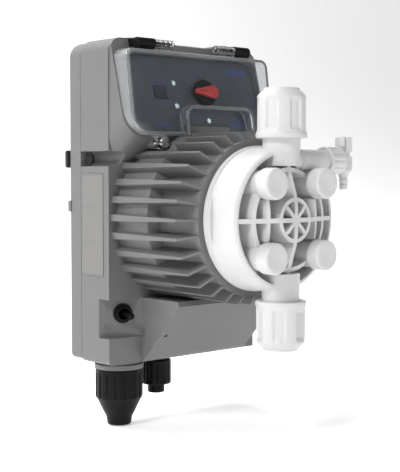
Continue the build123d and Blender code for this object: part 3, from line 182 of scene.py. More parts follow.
# %% Wiring of a node tree
class Wiring:
    """Adds nodes to one tree."""

    def __init__(self, tree):
        self.tree = tree

    def node(self, kind, inputs=None, **settings):
        """Adds one node, sets its properties, then links or fills its inputs."""
        made = self.tree.nodes.new(kind)
        for key, value in settings.items():
            setattr(made, key, value)
        for key, value in (inputs or {}).items():
            self.feed(made.inputs[key], value)
        return made

    def feed(self, target, value):
        """Links a socket or a Value to an input, or sets a plain value there."""
        if isinstance(value, Value):
            value = value.socket
        if hasattr(value, "links"):
            self.tree.links.new(value, target)
        else:
            target.default_value = value

    def math(self, kind, a, b=None):
        """One Math node of one or two inputs."""
        inputs = {0: a} if b is None else {0: a, 1: b}
        return Value(self, self.node("ShaderNodeMath", inputs, operation=kind).outputs[0])

    def split(self, vector):
        """x, y and z of a vector."""
        parts = self.node("ShaderNodeSeparateXYZ", {0: vector})
        return [Value(self, socket) for socket in parts.outputs]


print("wiring can", ", ".join(k for k in vars(Wiring) if k[0] != "_"))

# %% [markdown]
# ## The paint box
#
# A Paint is one material, and it knows the place on the object in millimetres.
# Object coordinates give that place, because they keep still on a piece that
# moves, and no piece has to be unwrapped.
# A Mix node has sockets for every kind of data; its colours are inputs 6 and 7.


# %% A material made from formulas
MIX_AMOUNT, MIX_FIRST, MIX_SECOND, MIX_COLOUR = 0, 6, 7, 2


class Paint(Wiring):
    """A procedural material; place, x, y and z are in millimetres."""

    def __init__(self, name):
        self.material = bpy.data.materials.new("look_" + name)
        self.material.use_nodes = True
        super().__init__(self.material.node_tree)
        self.shader = self.tree.nodes["Principled BSDF"]
        metres = self.node("ShaderNodeTexCoord").outputs["Object"]
        scaled = {0: metres, "Scale": 1 / MM}
        self.place = self.node("ShaderNodeVectorMath", scaled, operation="SCALE").outputs[0]
        self.x, self.y, self.z = self.split(self.place)
        self.bumps = None

    def noise(self, size, detail=3.0, rough=0.5):
        """Cloudy noise around 0.5 whose blobs are about size millimetres wide."""
        inputs = {"Vector": self.place, "Scale": 1.0 / size, "Detail": detail, "Roughness": rough}
        return Value(self, self.node("ShaderNodeTexNoise", inputs).outputs[0])

    def cells(self, size):
        """Distance to the nearest of scattered points, as a share of their spacing, size."""
        inputs = {"Vector": self.place, "Scale": 1.0 / size}
        return Value(self, self.node("ShaderNodeTexVoronoi", inputs).outputs["Distance"])

    def blend(self, amount, first, second):
        """Colour (1 - amount) first + amount second."""
        ends = [end if hasattr(end, "links") else (*end, 1.0) for end in (first, second)]
        inputs = {MIX_AMOUNT: amount, MIX_FIRST: ends[0], MIX_SECOND: ends[1]}
        return self.node("ShaderNodeMix", inputs, data_type="RGBA").outputs[MIX_COLOUR]

    def bump(self, height, distance=0.1, strength=1.0):
        """Tilts the surface by the slope of height, which is worth distance millimetres."""
        inputs = {"Height": height, "Distance": distance * MM, "Strength": strength}
        if self.bumps:
            inputs["Normal"] = self.bumps
        self.bumps = self.node("ShaderNodeBump", inputs).outputs[0]

    def finish(self, colour, rough, metal=0.0, **extra):
        """Feeds the shader; extra names its other sockets, with _ for a space."""
        sockets = {"Base Color": colour, "Roughness": rough, "Metallic": metal}
        sockets.update({name.replace("_", " "): value for name, value in extra.items()})
        if self.bumps:
            sockets["Normal"] = self.bumps
        for name, value in sockets.items():
            self.feed(self.shader.inputs[name], value)
        return self.material


LOOKS = {}
print("paint can", ", ".join(k for k in vars(Paint) if k[0] != "_"))

# %% [markdown]
# ## Moulded plastics
#
# Casing, nuts, caps, knobs and cable entries are moulded.
# A moulding has a fine grain pressed in by the mould, a faint cloudiness of
# colour, and a slow swell that lets long highlights waver a little.
# Each plastic could be a material of its own, but they differ only in colour,
# shine and size of grain, so one function makes them all.

# %% Moulded plastic
CLOUD_SIZE, SPECK_SIZE = 14.0, 0.6
SWELL_SIZE, SWELL_HIGH = 22.0, 0.12


def moulded(name, colour, rough, grain, relief, cloud, **extra):
    """Colour times 1 - cloud to 1 + cloud by noise, with a grain bump and uneven shine."""
    paint = Paint(name)
    drift = paint.noise(CLOUD_SIZE, 4.0)
    speck = paint.noise(SPECK_SIZE, 2.0, 0.7)
    dark = [c * (1.0 - cloud) for c in colour]
    light = [min(1.0, c * (1.0 + cloud)) for c in colour]
    shade = paint.blend((drift * 0.8 + speck * 0.4 - 0.1).clamp(), dark, light)
    paint.bump(paint.noise(grain, 2.0, 0.6), relief, 0.5)
    paint.bump(paint.noise(SWELL_SIZE, 2.0), SWELL_HIGH, 0.35)
    gloss = (drift * 0.16 + speck * 0.1 + (rough - 0.13)).clamp(0.05, 1.0)
    return paint.finish(shade, gloss, **extra)


# Each row: colour, roughness, size and height of the grain in mm, cloudiness.
MOULDINGS = {
    "casing": ((0.155, 0.156, 0.16), 0.45, 0.3, 0.035, 0.05),
    "rubber": ((0.022, 0.022, 0.023), 0.72, 0.5, 0.05, 0.15),
    "panel_key": ((0.05, 0.058, 0.085), 0.42, 0.3, 0.02, 0.1),
    "black_plastic": ((0.005, 0.005, 0.006), 0.42, 0.35, 0.03, 0.15),
    "grey_plastic": ((0.17, 0.17, 0.178), 0.46, 0.35, 0.03, 0.08),
    "green_plastic": ((0.03, 0.23, 0.08), 0.4, 0.35, 0.03, 0.08),
    "red_plastic": ((0.95, 0.07, 0.06), 0.28, 0.4, 0.015, 0.06),
    "ptfe": ((0.8, 0.8, 0.78), 0.5, 0.5, 0.02, 0.04),
    "white_plastic": ((0.665, 0.665, 0.66), 0.36, 0.4, 0.025, 0.025),
}
SHINE = {"black_plastic": {"Specular_IOR_Level": 0.14}, "red_plastic": {"Coat_Weight": 0.3}}
for name, row in MOULDINGS.items():
    LOOKS[name] = moulded(name, *row, **SHINE.get(name, {}))
print("moulded looks:", ", ".join(MOULDINGS))

# %% [markdown]
# ## Metals
#
# The armature, the screws and the yoke are turned or plated.
# A lathe leaves fine rings about the axis of the part, and plating is mottled.
# The rings could be cut into the mesh, but they are a few thousandths of a
# millimetre deep, so a sine of the radius, fed to a bump, shows them better.

# %% Turned and plated metal
RING_HIGH, SPOT_SIZE, SPOT_DARK = 0.006, 5.0, 0.82


def turned(name, colour, rough, pitch, tint=None):
    """Rings sin(2 pi r / pitch + 2 noise) about the pump axis under a mottled plating."""
    paint = Paint(name)
    radius = hypot(paint.x - AXIS_X, paint.z - AXIS_Z)
    rings = (radius * (2 * math.pi / pitch) + paint.noise(6.0) * 2.0).sin()
    mottle = paint.noise(SPOT_SIZE, 4.0, 0.6)
    shade = paint.blend(mottle, [c * SPOT_DARK for c in colour], tint or colour)
    paint.bump(rings, RING_HIGH, 0.5)
    paint.bump(paint.noise(0.5, 2.0), 0.01, 0.4)
    gloss = (mottle * 0.2 + rings * 0.03 + (rough - 0.1)).clamp(0.05, 1.0)
    return paint.finish(shade, gloss, 1.0)


# Each row: colour, roughness, pitch of the rings in mm, colour of the plating's light spots.
METALS = {
    "steel": ((0.62, 0.62, 0.63), 0.3, 0.6),
    "plated_steel": ((0.58, 0.585, 0.6), 0.34, 0.8, (0.64, 0.63, 0.56)),
    "brass": ((0.72, 0.5, 0.2), 0.26, 0.4, (0.8, 0.6, 0.3)),
}
for name, row in METALS.items():
    LOOKS[name] = turned(name, *row)
print("metal looks:", ", ".join(METALS))

# %% [markdown]
# ## The inclined panel
#
# The real panel is a printed sheet on a slope, with a dial round the knob.
# An image could carry the print, but lines worked out by formula stay sharp.
# `across` is X from the knob, and `up` is measured along the slope.
# The dial has eleven ticks: twelve in a full turn, and none at the bottom.
# Plain bars stand where a panel has its words, and a frame lies round the key.

# %% Sizes of the panel print
PANEL_LEAN = math.radians(14.6)
PANEL_C, PANEL_S = math.cos(PANEL_LEAN), math.sin(PANEL_LEAN)
KNOB = (6.6, 36.0)
TICKS_ROUND = 12
TICK_STEP, TICK_LAST = 2 * math.pi / TICKS_ROUND, 2.75
TICK_RADIUS, TICK_HALF_LONG, TICK_HALF_WIDE = 11.0, 1.1, 0.45
KEY_AT, KEY_HALF, KEY_LINE, KEY_SQUASH = (-24.5, 35.6), 4.6, 0.2, 0.74
# Each bar: middle x, middle z, half its length, half its height.
PRINT_BARS = (
    (-23.0, 41.0, 7.0, 0.25),
    (-23.0, 28.6, 7.0, 0.25),
    (34.5, 49.2, 7.6, 1.9),
    (-26.0, 18.4, 5.0, 0.9),
    (-10.0, 23.4, 3.6, 0.7),
    (31.0, 22.6, 5.5, 0.6),
    (31.0, 19.8, 7.5, 0.6),
    (20.6, 16.3, 3.0, 0.5),
)
print("panel print:", int(TICK_LAST / TICK_STEP) * 2 + 1, "ticks and", len(PRINT_BARS), "bars")

# %% [markdown]
# The print is a mask that is 1 on ink and 0 elsewhere.
# Masks are multiplied where both must hold, and joined by `|` where either does.
# The ink is a little uneven and stands up slightly, as screen print does.

# %% Printed panel sheet
PANEL_DARK, PANEL_LIGHT = (0.1, 0.112, 0.134), (0.126, 0.141, 0.166)
INK, INK_HIGH = (0.1, 0.14, 0.44), 0.02


def dial_ticks(paint):
    """1 where the angle is near k 30 degrees and the radius is near that of the ticks."""
    across = paint.x - KNOB[0]
    up = (paint.z - KNOB[1]) / PANEL_C
    radius = hypot(across, up)
    angle = paint.math("ARCTAN2", across, up)
    beside = (angle * (1.0 / TICK_STEP) + TICKS_ROUND).to_whole() * radius * TICK_STEP
    ring = radius.near(TICK_RADIUS, TICK_HALF_LONG)
    return (beside < TICK_HALF_WIDE) * ring * (angle.abs() < TICK_LAST)


def key_frame(paint):
    """A line where max(0.74 |x|, |z|), from the key, is half the key's height."""
    past = ((paint.x - KEY_AT[0]).abs() * KEY_SQUASH) | (paint.z - KEY_AT[1]).abs()
    return (past - KEY_HALF).abs() < KEY_LINE


def panel_print():
    """Dark sheet where the mask of ticks, frame and bars is 0, blue ink where it is 1."""
    paint = Paint("panel")
    marks = dial_ticks(paint) | key_frame(paint) * 0.6
    for mid_x, mid_z, half_x, half_z in PRINT_BARS:
        bar = ((paint.x - mid_x).abs() < half_x) * ((paint.z - mid_z).abs() < half_z)
        marks = marks | bar
    ink = marks * (paint.noise(0.8) * 0.3 + 0.55)
    ground = paint.blend(paint.noise(9.0), PANEL_DARK, PANEL_LIGHT)
    shade = paint.blend(ink.clamp(), ground, INK)
    paint.bump(paint.noise(0.25, 2.0), 0.012, 0.4)
    paint.bump(ink, INK_HIGH, 0.3)
    return paint.finish(shade, (paint.noise(3.0) * 0.12 + 0.26).clamp())


LOOKS["panel"] = panel_print()
print("panel look:", len(LOOKS["panel"].node_tree.nodes), "nodes")

# %% [markdown]
# ## The rating plate
#
# The real plate is a matt film in a shallow recess of the left side.
# Its lines could be cut as grooves, but print has no depth.
# So they are a mask: a thin border and two dividers, and no words.

# %% Bare rating plate
PLATE_MID_Y, PLATE_MID_Z = -24.6, -35.0
PLATE_HALF_Y, PLATE_HALF_Z = 8.3, 26.2
BORDER_HALF, BORDER_PAST = 0.12, 0.15
DIVIDER_HALF, DIVIDER_Z = 0.1, 9.0
FILM_DARK, FILM_LIGHT = (0.178, 0.175, 0.167), (0.205, 0.201, 0.191)
FILM_LINE = (0.11, 0.11, 0.107)


def rating_plate():
    """A border where |y| or |z| is near its half size, and dividers at z = +-9, on a film."""
    paint = Paint("label")
    across = (paint.y - PLATE_MID_Y).abs()
    up = (paint.z - PLATE_MID_Z).abs()
    sides = (across - PLATE_HALF_Y).abs() < BORDER_HALF
    ends = (up - PLATE_HALF_Z).abs() < BORDER_HALF
    inside = (across < PLATE_HALF_Y + BORDER_PAST) * (up < PLATE_HALF_Z + BORDER_PAST)
    dividers = ((up - DIVIDER_Z).abs() < DIVIDER_HALF) * (across < PLATE_HALF_Y)
    lines = ((sides | ends) * inside) | dividers
    ground = paint.blend(paint.noise(7.0, 4.0), FILM_DARK, FILM_LIGHT)
    shade = paint.blend(lines * 0.55, ground, FILM_LINE)
    paint.bump(paint.noise(0.4, 2.0), 0.01, 0.4)
    return paint.finish(shade, (paint.noise(4.0) * 0.15 + 0.38).clamp())


LOOKS["label"] = rating_plate()
print("plate lines on", 2 * PLATE_HALF_Y, "by", 2 * PLATE_HALF_Z, "mm")

# %% [markdown]
# ## Circuit boards
#
# A real board has copper tracks under green lacquer, and tinned pads with holes.
# Tracks could be drawn one by one, but behind the cover they only need to read
# as tracks: wavering rows and columns 2.5 mm apart, and noise that chooses
# between the two.
# Each pad is a ring round a scattered point, and its middle is painted near black as the shade
# inside a hole.

# %% Circuit board lacquer
TRACKS_PER_MM, TRACK_WANDER, TRACK_HALF = 0.4, 1.6, 0.12
PAD_SPACING, PAD_EDGE, HOLE_EDGE = 4.2, 0.24, 0.12
LACQUER_DARK, LACQUER_LIGHT = (0.012, 0.085, 0.03), (0.018, 0.12, 0.045)
TRACK_GREEN, TINNED, HOLE_SHADE = (0.04, 0.24, 0.07), (0.62, 0.6, 0.52), (0.02, 0.02, 0.02)


def board_lacquer():
    """Green, lighter on tracks, bright where 0.12 < d < 0.24 from a point, painted hole shade
    within.
    """
    paint = Paint("board")
    row = (paint.z * TRACKS_PER_MM + paint.noise(12.0) * TRACK_WANDER).to_whole()
    column = (paint.x * TRACKS_PER_MM + paint.noise(11.0) * TRACK_WANDER).to_whole()
    choose = paint.noise(9.0, 0.0) > 0.5
    track = ((row < TRACK_HALF) * choose + (column < TRACK_HALF) * (1.0 - choose)).clamp()
    pad = paint.cells(PAD_SPACING)
    ring = (pad < PAD_EDGE) * (pad > HOLE_EDGE)
    green = paint.blend(paint.noise(6.0), LACQUER_DARK, LACQUER_LIGHT)
    lined = paint.blend(track * 0.55, green, TRACK_GREEN)
    ringed = paint.blend(ring, lined, TINNED)
    # Painted shade: the middle of each pad is near black, standing in for a hole.
    shade = paint.blend(pad < HOLE_EDGE, ringed, HOLE_SHADE)
    paint.bump(track, 0.03, 0.5)
    return paint.finish(shade, (paint.noise(2.0) * 0.15 + 0.3).clamp(), ring * 0.8)


LOOKS["board"] = board_lacquer()
print("board look: tracks", 1 / TRACKS_PER_MM, "mm apart")

# %% [markdown]
# ## The clear cover
#
# The real cover is a tray of clear plastic that swings over the panel.
# Alpha alone could make it see-through, but then it would not bend light.
# It is a wall with two sides, so full transmission with an index of 1.49 fits.
# A clear tray shows white where its rim is seen edge on and catches light.
# So the rim gets a painted highlight: a trace of a pale diffuse shader, by its distance to the
# outline.

# %% Outline of the clear cover
LID_HALF, LID_MID, LID_TALL = 52.0, 34.5, 22.5
LID_TOP_CORNER, LID_LOW_CORNER = 5.0, 12.0
NOTCH_MID, NOTCH_HALF, NOTCH_TOP = 11.25, 23.75, 27.0


def from_outline(past_x, past_z, corner):
    """Signed distance to a rounded box: |max(q, 0)| + min(max(qx, qz), 0) - R, q = past + R."""
    qx, qz = past_x + corner, past_z + corner
    inside = (qx | qz) & 0.0
    return hypot(qx | 0.0, qz | 0.0) + inside - corner


print("cover outline", 2 * LID_HALF, "by", 2 * LID_TALL, "mm")

# %% [markdown]
# The painted highlight lies on a band inside the outline and a band round the notch for the dial.
# The hinge and the feet of the cover are left clear.

# %% Clear cover
RIM_WIDE, LIP_IN, LIP_OUT, EDGE_SLOPE = 2.4, 0.4, 2.3, 1.4
# The last value is the share of pale shader that paints a highlight on the rim.
RIM_LOW, RIM_HIGH, RIM_GLINT_SHARE = 11.0, 57.6, 0.16
CLEAR_INDEX = 1.49


def cover_rim(paint):
    """1 on the band -2.4 < outline, and on -0.4 < notch < 2.3, with soft edges."""
    corner = (paint.z < LID_MID) * (LID_LOW_CORNER - LID_TOP_CORNER) + LID_TOP_CORNER
    lid_x, lid_z = paint.x.abs() - LID_HALF, (paint.z - LID_MID).abs() - LID_TALL
    notch_x, notch_z = (paint.x - NOTCH_MID).abs() - NOTCH_HALF, paint.z - NOTCH_TOP
    outline = from_outline(lid_x, lid_z, corner)
    notch = from_outline(notch_x, notch_z, LID_TOP_CORNER)
    edge = ((outline + RIM_WIDE) * EDGE_SLOPE).clamp()
    lip_in, lip_out = (notch + LIP_IN) * EDGE_SLOPE, (LIP_OUT - notch) * EDGE_SLOPE
    lip = lip_in.clamp() * lip_out.clamp()
    return (edge | lip) * (paint.z > RIM_LOW) * (paint.z < RIM_HIGH)


def clear_sheet():
    """(1 - m) clear + m pale diffuse shader, a painted highlight, where m is 0.16 of the rim."""
    paint = Paint("clear")
    haze = paint.noise(12.0, 4.0)
    colour = paint.blend(haze, (0.93, 0.95, 0.96), (0.98, 0.985, 0.99))
    paint.bump(paint.noise(30.0, 1.0), 0.1, 0.15)
    gloss = (haze * 0.05 + 0.01).clamp()
    made = paint.finish(colour, gloss, IOR=CLEAR_INDEX, Transmission_Weight=1.0)
    # Painted highlight: a pale diffuse shader on the rim stands in for light caught by the edges.
    glint_settings = {"Base Color": (0.82, 0.84, 0.85, 1.0), "Roughness": 0.22}
    glint_shader = paint.node("ShaderNodeBsdfPrincipled", glint_settings)
    shaders = {0: cover_rim(paint) * RIM_GLINT_SHARE, 1: paint.shader.outputs[0], 2: glint_shader.outputs[0]}
    both = paint.node("ShaderNodeMixShader", shaders)
    paint.feed(paint.tree.nodes["Material Output"].inputs["Surface"], both.outputs[0])
    return made


LOOKS["clear"] = clear_sheet()
print("clear look:", len(LOOKS["clear"].node_tree.nodes), "nodes")

# %% [markdown]
# ## Copper winding
#
# The coil is a solid in the CAD model; the real one is hundreds of turns of wire.
# Modelled wire would be heavy for a part that lies inside the yoke.
# A sine along the axis shows the turns outside, and a sine of the radius shows the layers on the
# end faces. The same sines darken the colour towards the troughs: painted shade in the grooves
# between the wires.

# %% Copper winding
WIRE_PITCH, WINDING_EDGE = 0.7, 29.0
COPPER_GROOVE_SHADE, COPPER_LIGHT = (0.16, 0.045, 0.016), (0.56, 0.2, 0.07)


def copper_turns():
    """sin(2 pi y / pitch) past the edge radius, sin(2 pi r / pitch) within it; the troughs get
    painted shade.
    """
    paint = Paint("copper")
    radius = hypot(paint.x - AXIS_X, paint.z - AXIS_Z)
    turns = (paint.y * (2 * math.pi / WIRE_PITCH)).sin() * (radius > WINDING_EDGE)
    layers = (radius * (2 * math.pi / WIRE_PITCH)).sin() * (radius < WINDING_EDGE)
    wires = turns + layers
    # Painted shade: the colour darkens from copper towards the troughs between the wires.
    shade = paint.blend((wires * 0.5 + 0.5).clamp(), COPPER_GROOVE_SHADE, COPPER_LIGHT)
    paint.bump(wires, 0.12, 0.8)
    return paint.finish(shade, (paint.noise(4.0) * 0.15 + 0.25).clamp(), 0.85)


LOOKS["copper"] = copper_turns()
print("copper look: wire", WIRE_PITCH, "mm apart")

# %% [markdown]
# ## Signal lights and valve balls
#
# The lights are small lenses that glow faintly, and the balls are polished
# ceramic with a speckle that only shows close up.
# A lamp inside each lens could light it, but a weak emission does the same.

# %% Signal lights and valve balls
LENS_GLOW = 0.35
SPECKLE_SIZE = 0.35


def lamp():
    """Pale blue-green by noise, which is also what it emits."""
    paint = Paint("led")
    glow = paint.noise(0.7, 2.0)
    shade = paint.blend(glow, (0.55, 0.78, 0.80), (0.82, 0.95, 0.96))
    paint.bump(paint.noise(0.5), 0.02, 0.3)
    gloss = (glow * 0.1 + 0.12).clamp()
    return paint.finish(shade, gloss, Emission_Color=shade, Emission_Strength=LENS_GLOW)


def ceramic_ball():
    """Ivory, darker by 0.3 within 0.2 of a scattered point, under a coat."""
    paint = Paint("ceramic")
    speck = paint.cells(SPECKLE_SIZE)
    shade = paint.blend((speck < 0.2) * 0.3, (0.86, 0.84, 0.78), (0.62, 0.6, 0.55))
    paint.bump(paint.noise(0.3), 0.004, 0.4)
    return paint.finish(shade, (paint.noise(1.5) * 0.08 + 0.08).clamp(), Coat_Weight=0.4)


LOOKS["led"] = lamp()
LOOKS["ceramic"] = ceramic_ball()
print(len(LOOKS), "looks in all")

# %% [markdown]
# ## Dress every CAD piece
#
# The record of the CAD model says which material slot each node takes and
# which moving body it belongs to.
# Looks could be dealt out by name, but the record already knows, so it is read.
# Nothing in the mesh of a CAD node changes.

# %% Assign looks
slot_of = {}
for part in frame["record"]["subparts"]:
    slot_of[part["node"]] = part["material_slot"]
body_of = {}
for body, members in frame["record"]["behaviour"]["bodies"].items():
    for member in members:
        body_of[member] = body
for name, piece in nodes.items():
    piece.data.materials.clear()
    piece.data.materials.append(LOOKS[slot_of[name]])
print(len(slot_of), "nodes dressed in", len(set(slot_of.values())), "looks")

# %% [markdown]
# ## Outlines
#
# Nuts, caps and knobs look moulded because their edges are rounded.
# A Bevel modifier could round them, but it would also cut into the grip.
# So the outline is rounded first, as a closed loop of radius and height, and
# long edges are split so that a later ripple has points to move.


# %% Rounded and refined outlines
def rounded(points, radius, steps=5):
    """Each corner of a closed outline becomes (1-t)^2 a + 2t(1-t) corner + t^2 b.

    a and b lie `radius` from the corner along its two edges, or 45% of a short edge.
    A corner on the axis stays sharp, because the turned face closes there.
    """
    points = [np.array(p, float) for p in points]
    t = np.linspace(0.0, 1.0, steps)[:, None]
    out = []
    for i, corner in enumerate(points):
        if corner[0] < 0.05:
            out.append(corner[None, :])
            continue
        before = points[i - 1] - corner
        after = points[(i + 1) % len(points)] - corner
        a = corner + before * min(radius / np.linalg.norm(before), 0.45)
        b = corner + after * min(radius / np.linalg.norm(after), 0.45)
        out.append((1 - t) ** 2 * a + 2 * t * (1 - t) * corner + t**2 * b)
    return np.concatenate(out)


def refine(outline, longest):
    """start + (end - start) k / n on every edge of a loop, with n so that none is too long."""
    out = []
    for start, end in zip(outline, np.roll(outline, -1, axis=0)):
        count = max(1, int(math.ceil(np.linalg.norm(end - start) / longest)))
        out.append(start + (end - start) * np.arange(count)[:, None] / count)
    return np.concatenate(out)


def smooth_step(value):
    """3t^2 - 2t^3 between 0 and 1: a ramp without corners."""
    t = np.clip(value, 0.0, 1.0)
    return t * t * (3 - 2 * t)


square = [(1, 0), (11, 0), (11, 10), (1, 10)]
print("a rounded square of side 10 has", len(refine(rounded(square, 1), 1)), "points")

# %% [markdown]
# ## Shapes as grids
#
# A turned piece is a grid: one index walks along its outline, the other
# around its axis.
# Blender's Spin tool could turn it, but a grid is computed at once and can
# carry a ripple: an amount taken off the radius, as a function of the angle
# and the height, which makes flutes, knurls and threads.


# %% Turned shapes
def grid_quads(rows, columns, closed=True):
    """Quads (i, j), (i+1, j), (i+1, j+1), (i, j+1); columns close up, and rows too if closed."""
    row_starts = np.arange(rows if closed else rows - 1)
    i, j = np.meshgrid(row_starts, np.arange(columns), indexing="ij")
    i2, j2 = (i + 1) % rows, (j + 1) % columns
    corners = [i * columns + j, i2 * columns + j, i2 * columns + j2, i * columns + j2]
    return np.stack(corners, -1).reshape(-1, 4)


def turn(outline, origin, axis, side, ripple=None, count=144):
    """Point (i, j) = origin + h_i axis + (r_i - ripple) (cos a_j side + sin a_j other).

    The ripple is a function of a_j, h_i and r_i, and other is at right angles to side.
    The outline is a closed loop of (r, h); r stays above zero. Returns points and quads.
    """
    axis = np.array(axis, float) / np.linalg.norm(axis)
    side = np.array(side, float) - axis * np.dot(side, axis)
    side /= np.linalg.norm(side)
    other = np.cross(axis, side)
    angle = np.linspace(0.0, 2 * math.pi, count, endpoint=False)[None, :]
    r = outline[:, 0][:, None]
    h = outline[:, 1][:, None]
    radius = r - (ripple(angle, h, r) if ripple else 0.0) + 0.0 * angle
    round_it = np.cos(angle)[..., None] * side + np.sin(angle)[..., None] * other
    grid = np.array(origin, float) + h[..., None] * axis + radius[..., None] * round_it
    return grid.reshape(-1, 3), grid_quads(*grid.shape[:2])


def outward(points, quads):
    """Turns the faces over if the volume they enclose, sum of a . (b x c) / 6, is negative."""
    a, b, c, d = (points[quads[:, k]] for k in range(4))
    volume = np.sum(a * np.cross(b, c)) + np.sum(a * np.cross(c, d))
    return quads if volume > 0 else quads[:, ::-1]


print("a grid of 3 by 4 has", len(grid_quads(3, 4)), "quads")

# %% [markdown]
# ## From grid to object
#
# A finished piece lies at the origin, unturned, with its place in its mesh.
# Then its paint reads the same coordinates as the paint of a CAD node.
# A piece that stands for a CAD node also rides on that node's moving body.


# %% Objects from shells
def new_piece(name, points, quads, look, smooth=True):
    """A mesh object from points in millimetres, with its look."""
    mesh = bpy.data.meshes.new(name)
    mesh.from_pydata((points * MM).tolist(), [], quads.tolist())
    mesh.polygons.foreach_set("use_smooth", [smooth] * len(mesh.polygons))
    mesh.update()
    mesh.materials.append(LOOKS[look])
    made = bpy.data.objects.new(name, mesh)
    bpy.context.scene.collection.objects.link(made)
    print(name, "has", len(points), "points and", len(quads), "quads")
    return made


def build(name, shells, look, stands_for):
    """One object from several closed shells, standing for a CAD node on its body."""
    points, quads, offset = [], [], 0
    for shell_points, shell_quads in shells:
        points.append(shell_points)
        quads.append(outward(shell_points, shell_quads) + offset)
        offset += len(shell_points)
    made = new_piece(name, np.concatenate(points), np.concatenate(quads), look)
    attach(made, body_of[stands_for])
    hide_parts(stands_for)
    return made


# %% [markdown]
# ## Union nuts
#
# Two nuts hold the hoses on the valves and are turned by hand.
# Each has a plain skirt, six broad hollows between rounded ribs, and a narrow
# collar at the hose end.
# The hollows could be cut away with Boolean cutters, but those leave sharp
# edges: cos(6a), raised to a ramp, keeps the ribs wide and the edges soft.

# %% Union nuts
NUT_LOW, NUT_HIGH, NUT_SKIRT, NUT_END = 40.8, 66.0, 13.0, 12.3
NUT_BORE, HOSE_HOLE = 9.75, 7.0
HOLLOWS, HOLLOW_DEEP, HOLLOW_TURN, HOLLOW_WIDEN = 6, 1.05, math.radians(20), 0.25
nut_outline = [
    (NUT_BORE, NUT_LOW),
    (NUT_SKIRT, NUT_LOW),
    (NUT_SKIRT, NUT_LOW + 2.4),
    (NUT_SKIRT - 0.5, NUT_LOW + 3.1),
    (NUT_END, NUT_HIGH - 4.2),
    (NUT_END - 2.2, NUT_HIGH - 1.7),
    (NUT_END - 3.1, NUT_HIGH - 1.5),
    (NUT_END - 3.3, NUT_HIGH),
    (HOSE_HOLE, NUT_HIGH),
    (HOSE_HOLE, NUT_HIGH - 6.5),
    (NUT_BORE, NUT_HIGH - 8.5),
]


def nut_hollows(angle, h, r):
    """deep ramp((cos(6 (a - 20 degrees)) + 0.25) / 0.75), faded out at skirt, collar and bore."""
    wave = np.cos(HOLLOWS * (angle - HOLLOW_TURN))
    beat = smooth_step((wave + HOLLOW_WIDEN) / (1 - HOLLOW_WIDEN))
    along = smooth_step((h - NUT_LOW - 3.4) / 2.0) * smooth_step((NUT_HIGH - 4.6 - h) / 2.5)
    return HOLLOW_DEEP * beat * along * smooth_step((r - 10.8) / 0.8)


nut_loop = refine(rounded(nut_outline, 0.8), 0.7)
nut_at = (AXIS_X, -NECK_DEPTH, AXIS_Z)
for name, sign, stands_for in (
    ("discharge_union_nut", 1, "discharge_nut"),
    ("suction_union_nut", -1, "suction_nut"),
):
    shell = turn(nut_loop, nut_at, (0, 0, sign), (1, 0, 0), nut_hollows, 216)
    build(name, [shell], "white_plastic", stands_for)

# %% [markdown]
# ## Bolt caps
#
# Four push-on caps cover the screws of the head.
# Their front edge is well rounded and the face is very slightly dished.
# One outline is turned four times, because the caps are alike and one mesh of
# four shells is lighter than four objects.

# %% Bolt caps
CAP_RADIUS, CAP_TALL, CAP_BORE = 7.85, 8.68, 4.05
CAP_DEPTH, CAP_OFFSET = 121.0, 18.2
cap_outline = [
    (0.02, 8.35),
    (3.0, 8.45),
    (5.0, CAP_TALL),
    (CAP_RADIUS, CAP_TALL),
    (CAP_RADIUS, 0.02),
    (CAP_BORE, 0.02),
    (CAP_BORE, -2.0),
    (3.2, -2.0),
    (3.2, 0.5),
    (0.02, 0.5),
]
cap_loop = refine(rounded(cap_outline, 1.9, 7), 0.8)
cap_shells = []
for side_x in (-CAP_OFFSET, CAP_OFFSET):
    for side_z in (-CAP_OFFSET, CAP_OFFSET):
        centre = (AXIS_X + side_x, -CAP_DEPTH, AXIS_Z + side_z)
        cap_shells.append(turn(cap_loop, centre, (0, -1, 0), (1, 0, 0), None, 96))
build("head_bolt_caps", cap_shells, "white_plastic", "bolt_caps")

# %% [markdown]
# ## Grips of the cable entries
#
# The cable gland and the signal entry hang below the casing.
# Both nuts are turned by hand, so both have grooves between flat ribs.
# Grooves could be an array of cutters, but a cosine cut off below makes them
# all at once, with as many round the nut as its argument counts.


# %% Grooved grip
def grip(count, deep, dead, low, high, inner):
    """deep max(cos(n a) - dead, 0) / (1 - dead), fading out past low, high and inner.

    low, high and inner are pairs: where the groove starts, and over what length.
    """

    def ripple(angle, h, r):
        beat = np.clip(np.cos(count * angle) - dead, 0, 1) / (1 - dead)
        along = smooth_step((h - low[0]) / low[1]) * smooth_step((high[0] - h) / high[1])
        return deep * beat * along * smooth_step((r - inner[0]) / inner[1])

    return ripple


trial = grip(16, 0.75, 0.35, (0.0, 1.0), (9.0, 1.0), (3.0, 1.0))
print("a trial groove is", float(trial(0.0, 5.0, 6.0)), "mm deep at its middle")

# %% [markdown]
# ## Cable gland
#
# The big nut squeezes a seal on the cable and narrows to a cable nose.
# Heights are measured from the middle of the wall screws, so they are negative.

# %% Cable gland nut
GLAND = (-35.4, -23.7)
gland_outline = [
    (9.06, -113.7),
    (12.9, -113.7),
    (12.9, -129.3),
    (11.7, -131.2),
    (8.2, -138.4),
    (7.2, -140.2),
    (6.4, -144.8),
    (4.6, -144.8),
    (4.6, -139.4),
    (9.06, -136.25),
]
gland_grip = grip(16, 0.75, 0.35, (-129.8, 1.5), (-115.2, 1.0), (11.0, 0.8))
gland_loop = refine(rounded(gland_outline, 0.7), 0.6)
gland_shell = turn(gland_loop, (*GLAND, 0), (0, 0, 1), (1, 0, 0), gland_grip, 192)
build("cable_gland_nut", [gland_shell], "black_plastic", "gland_nut")

# %% [markdown]
# ## Signal port and its plug
#
# The smaller entry beside the gland has a finer grip.
# A blank plug closes it, because no signal cable is fitted.

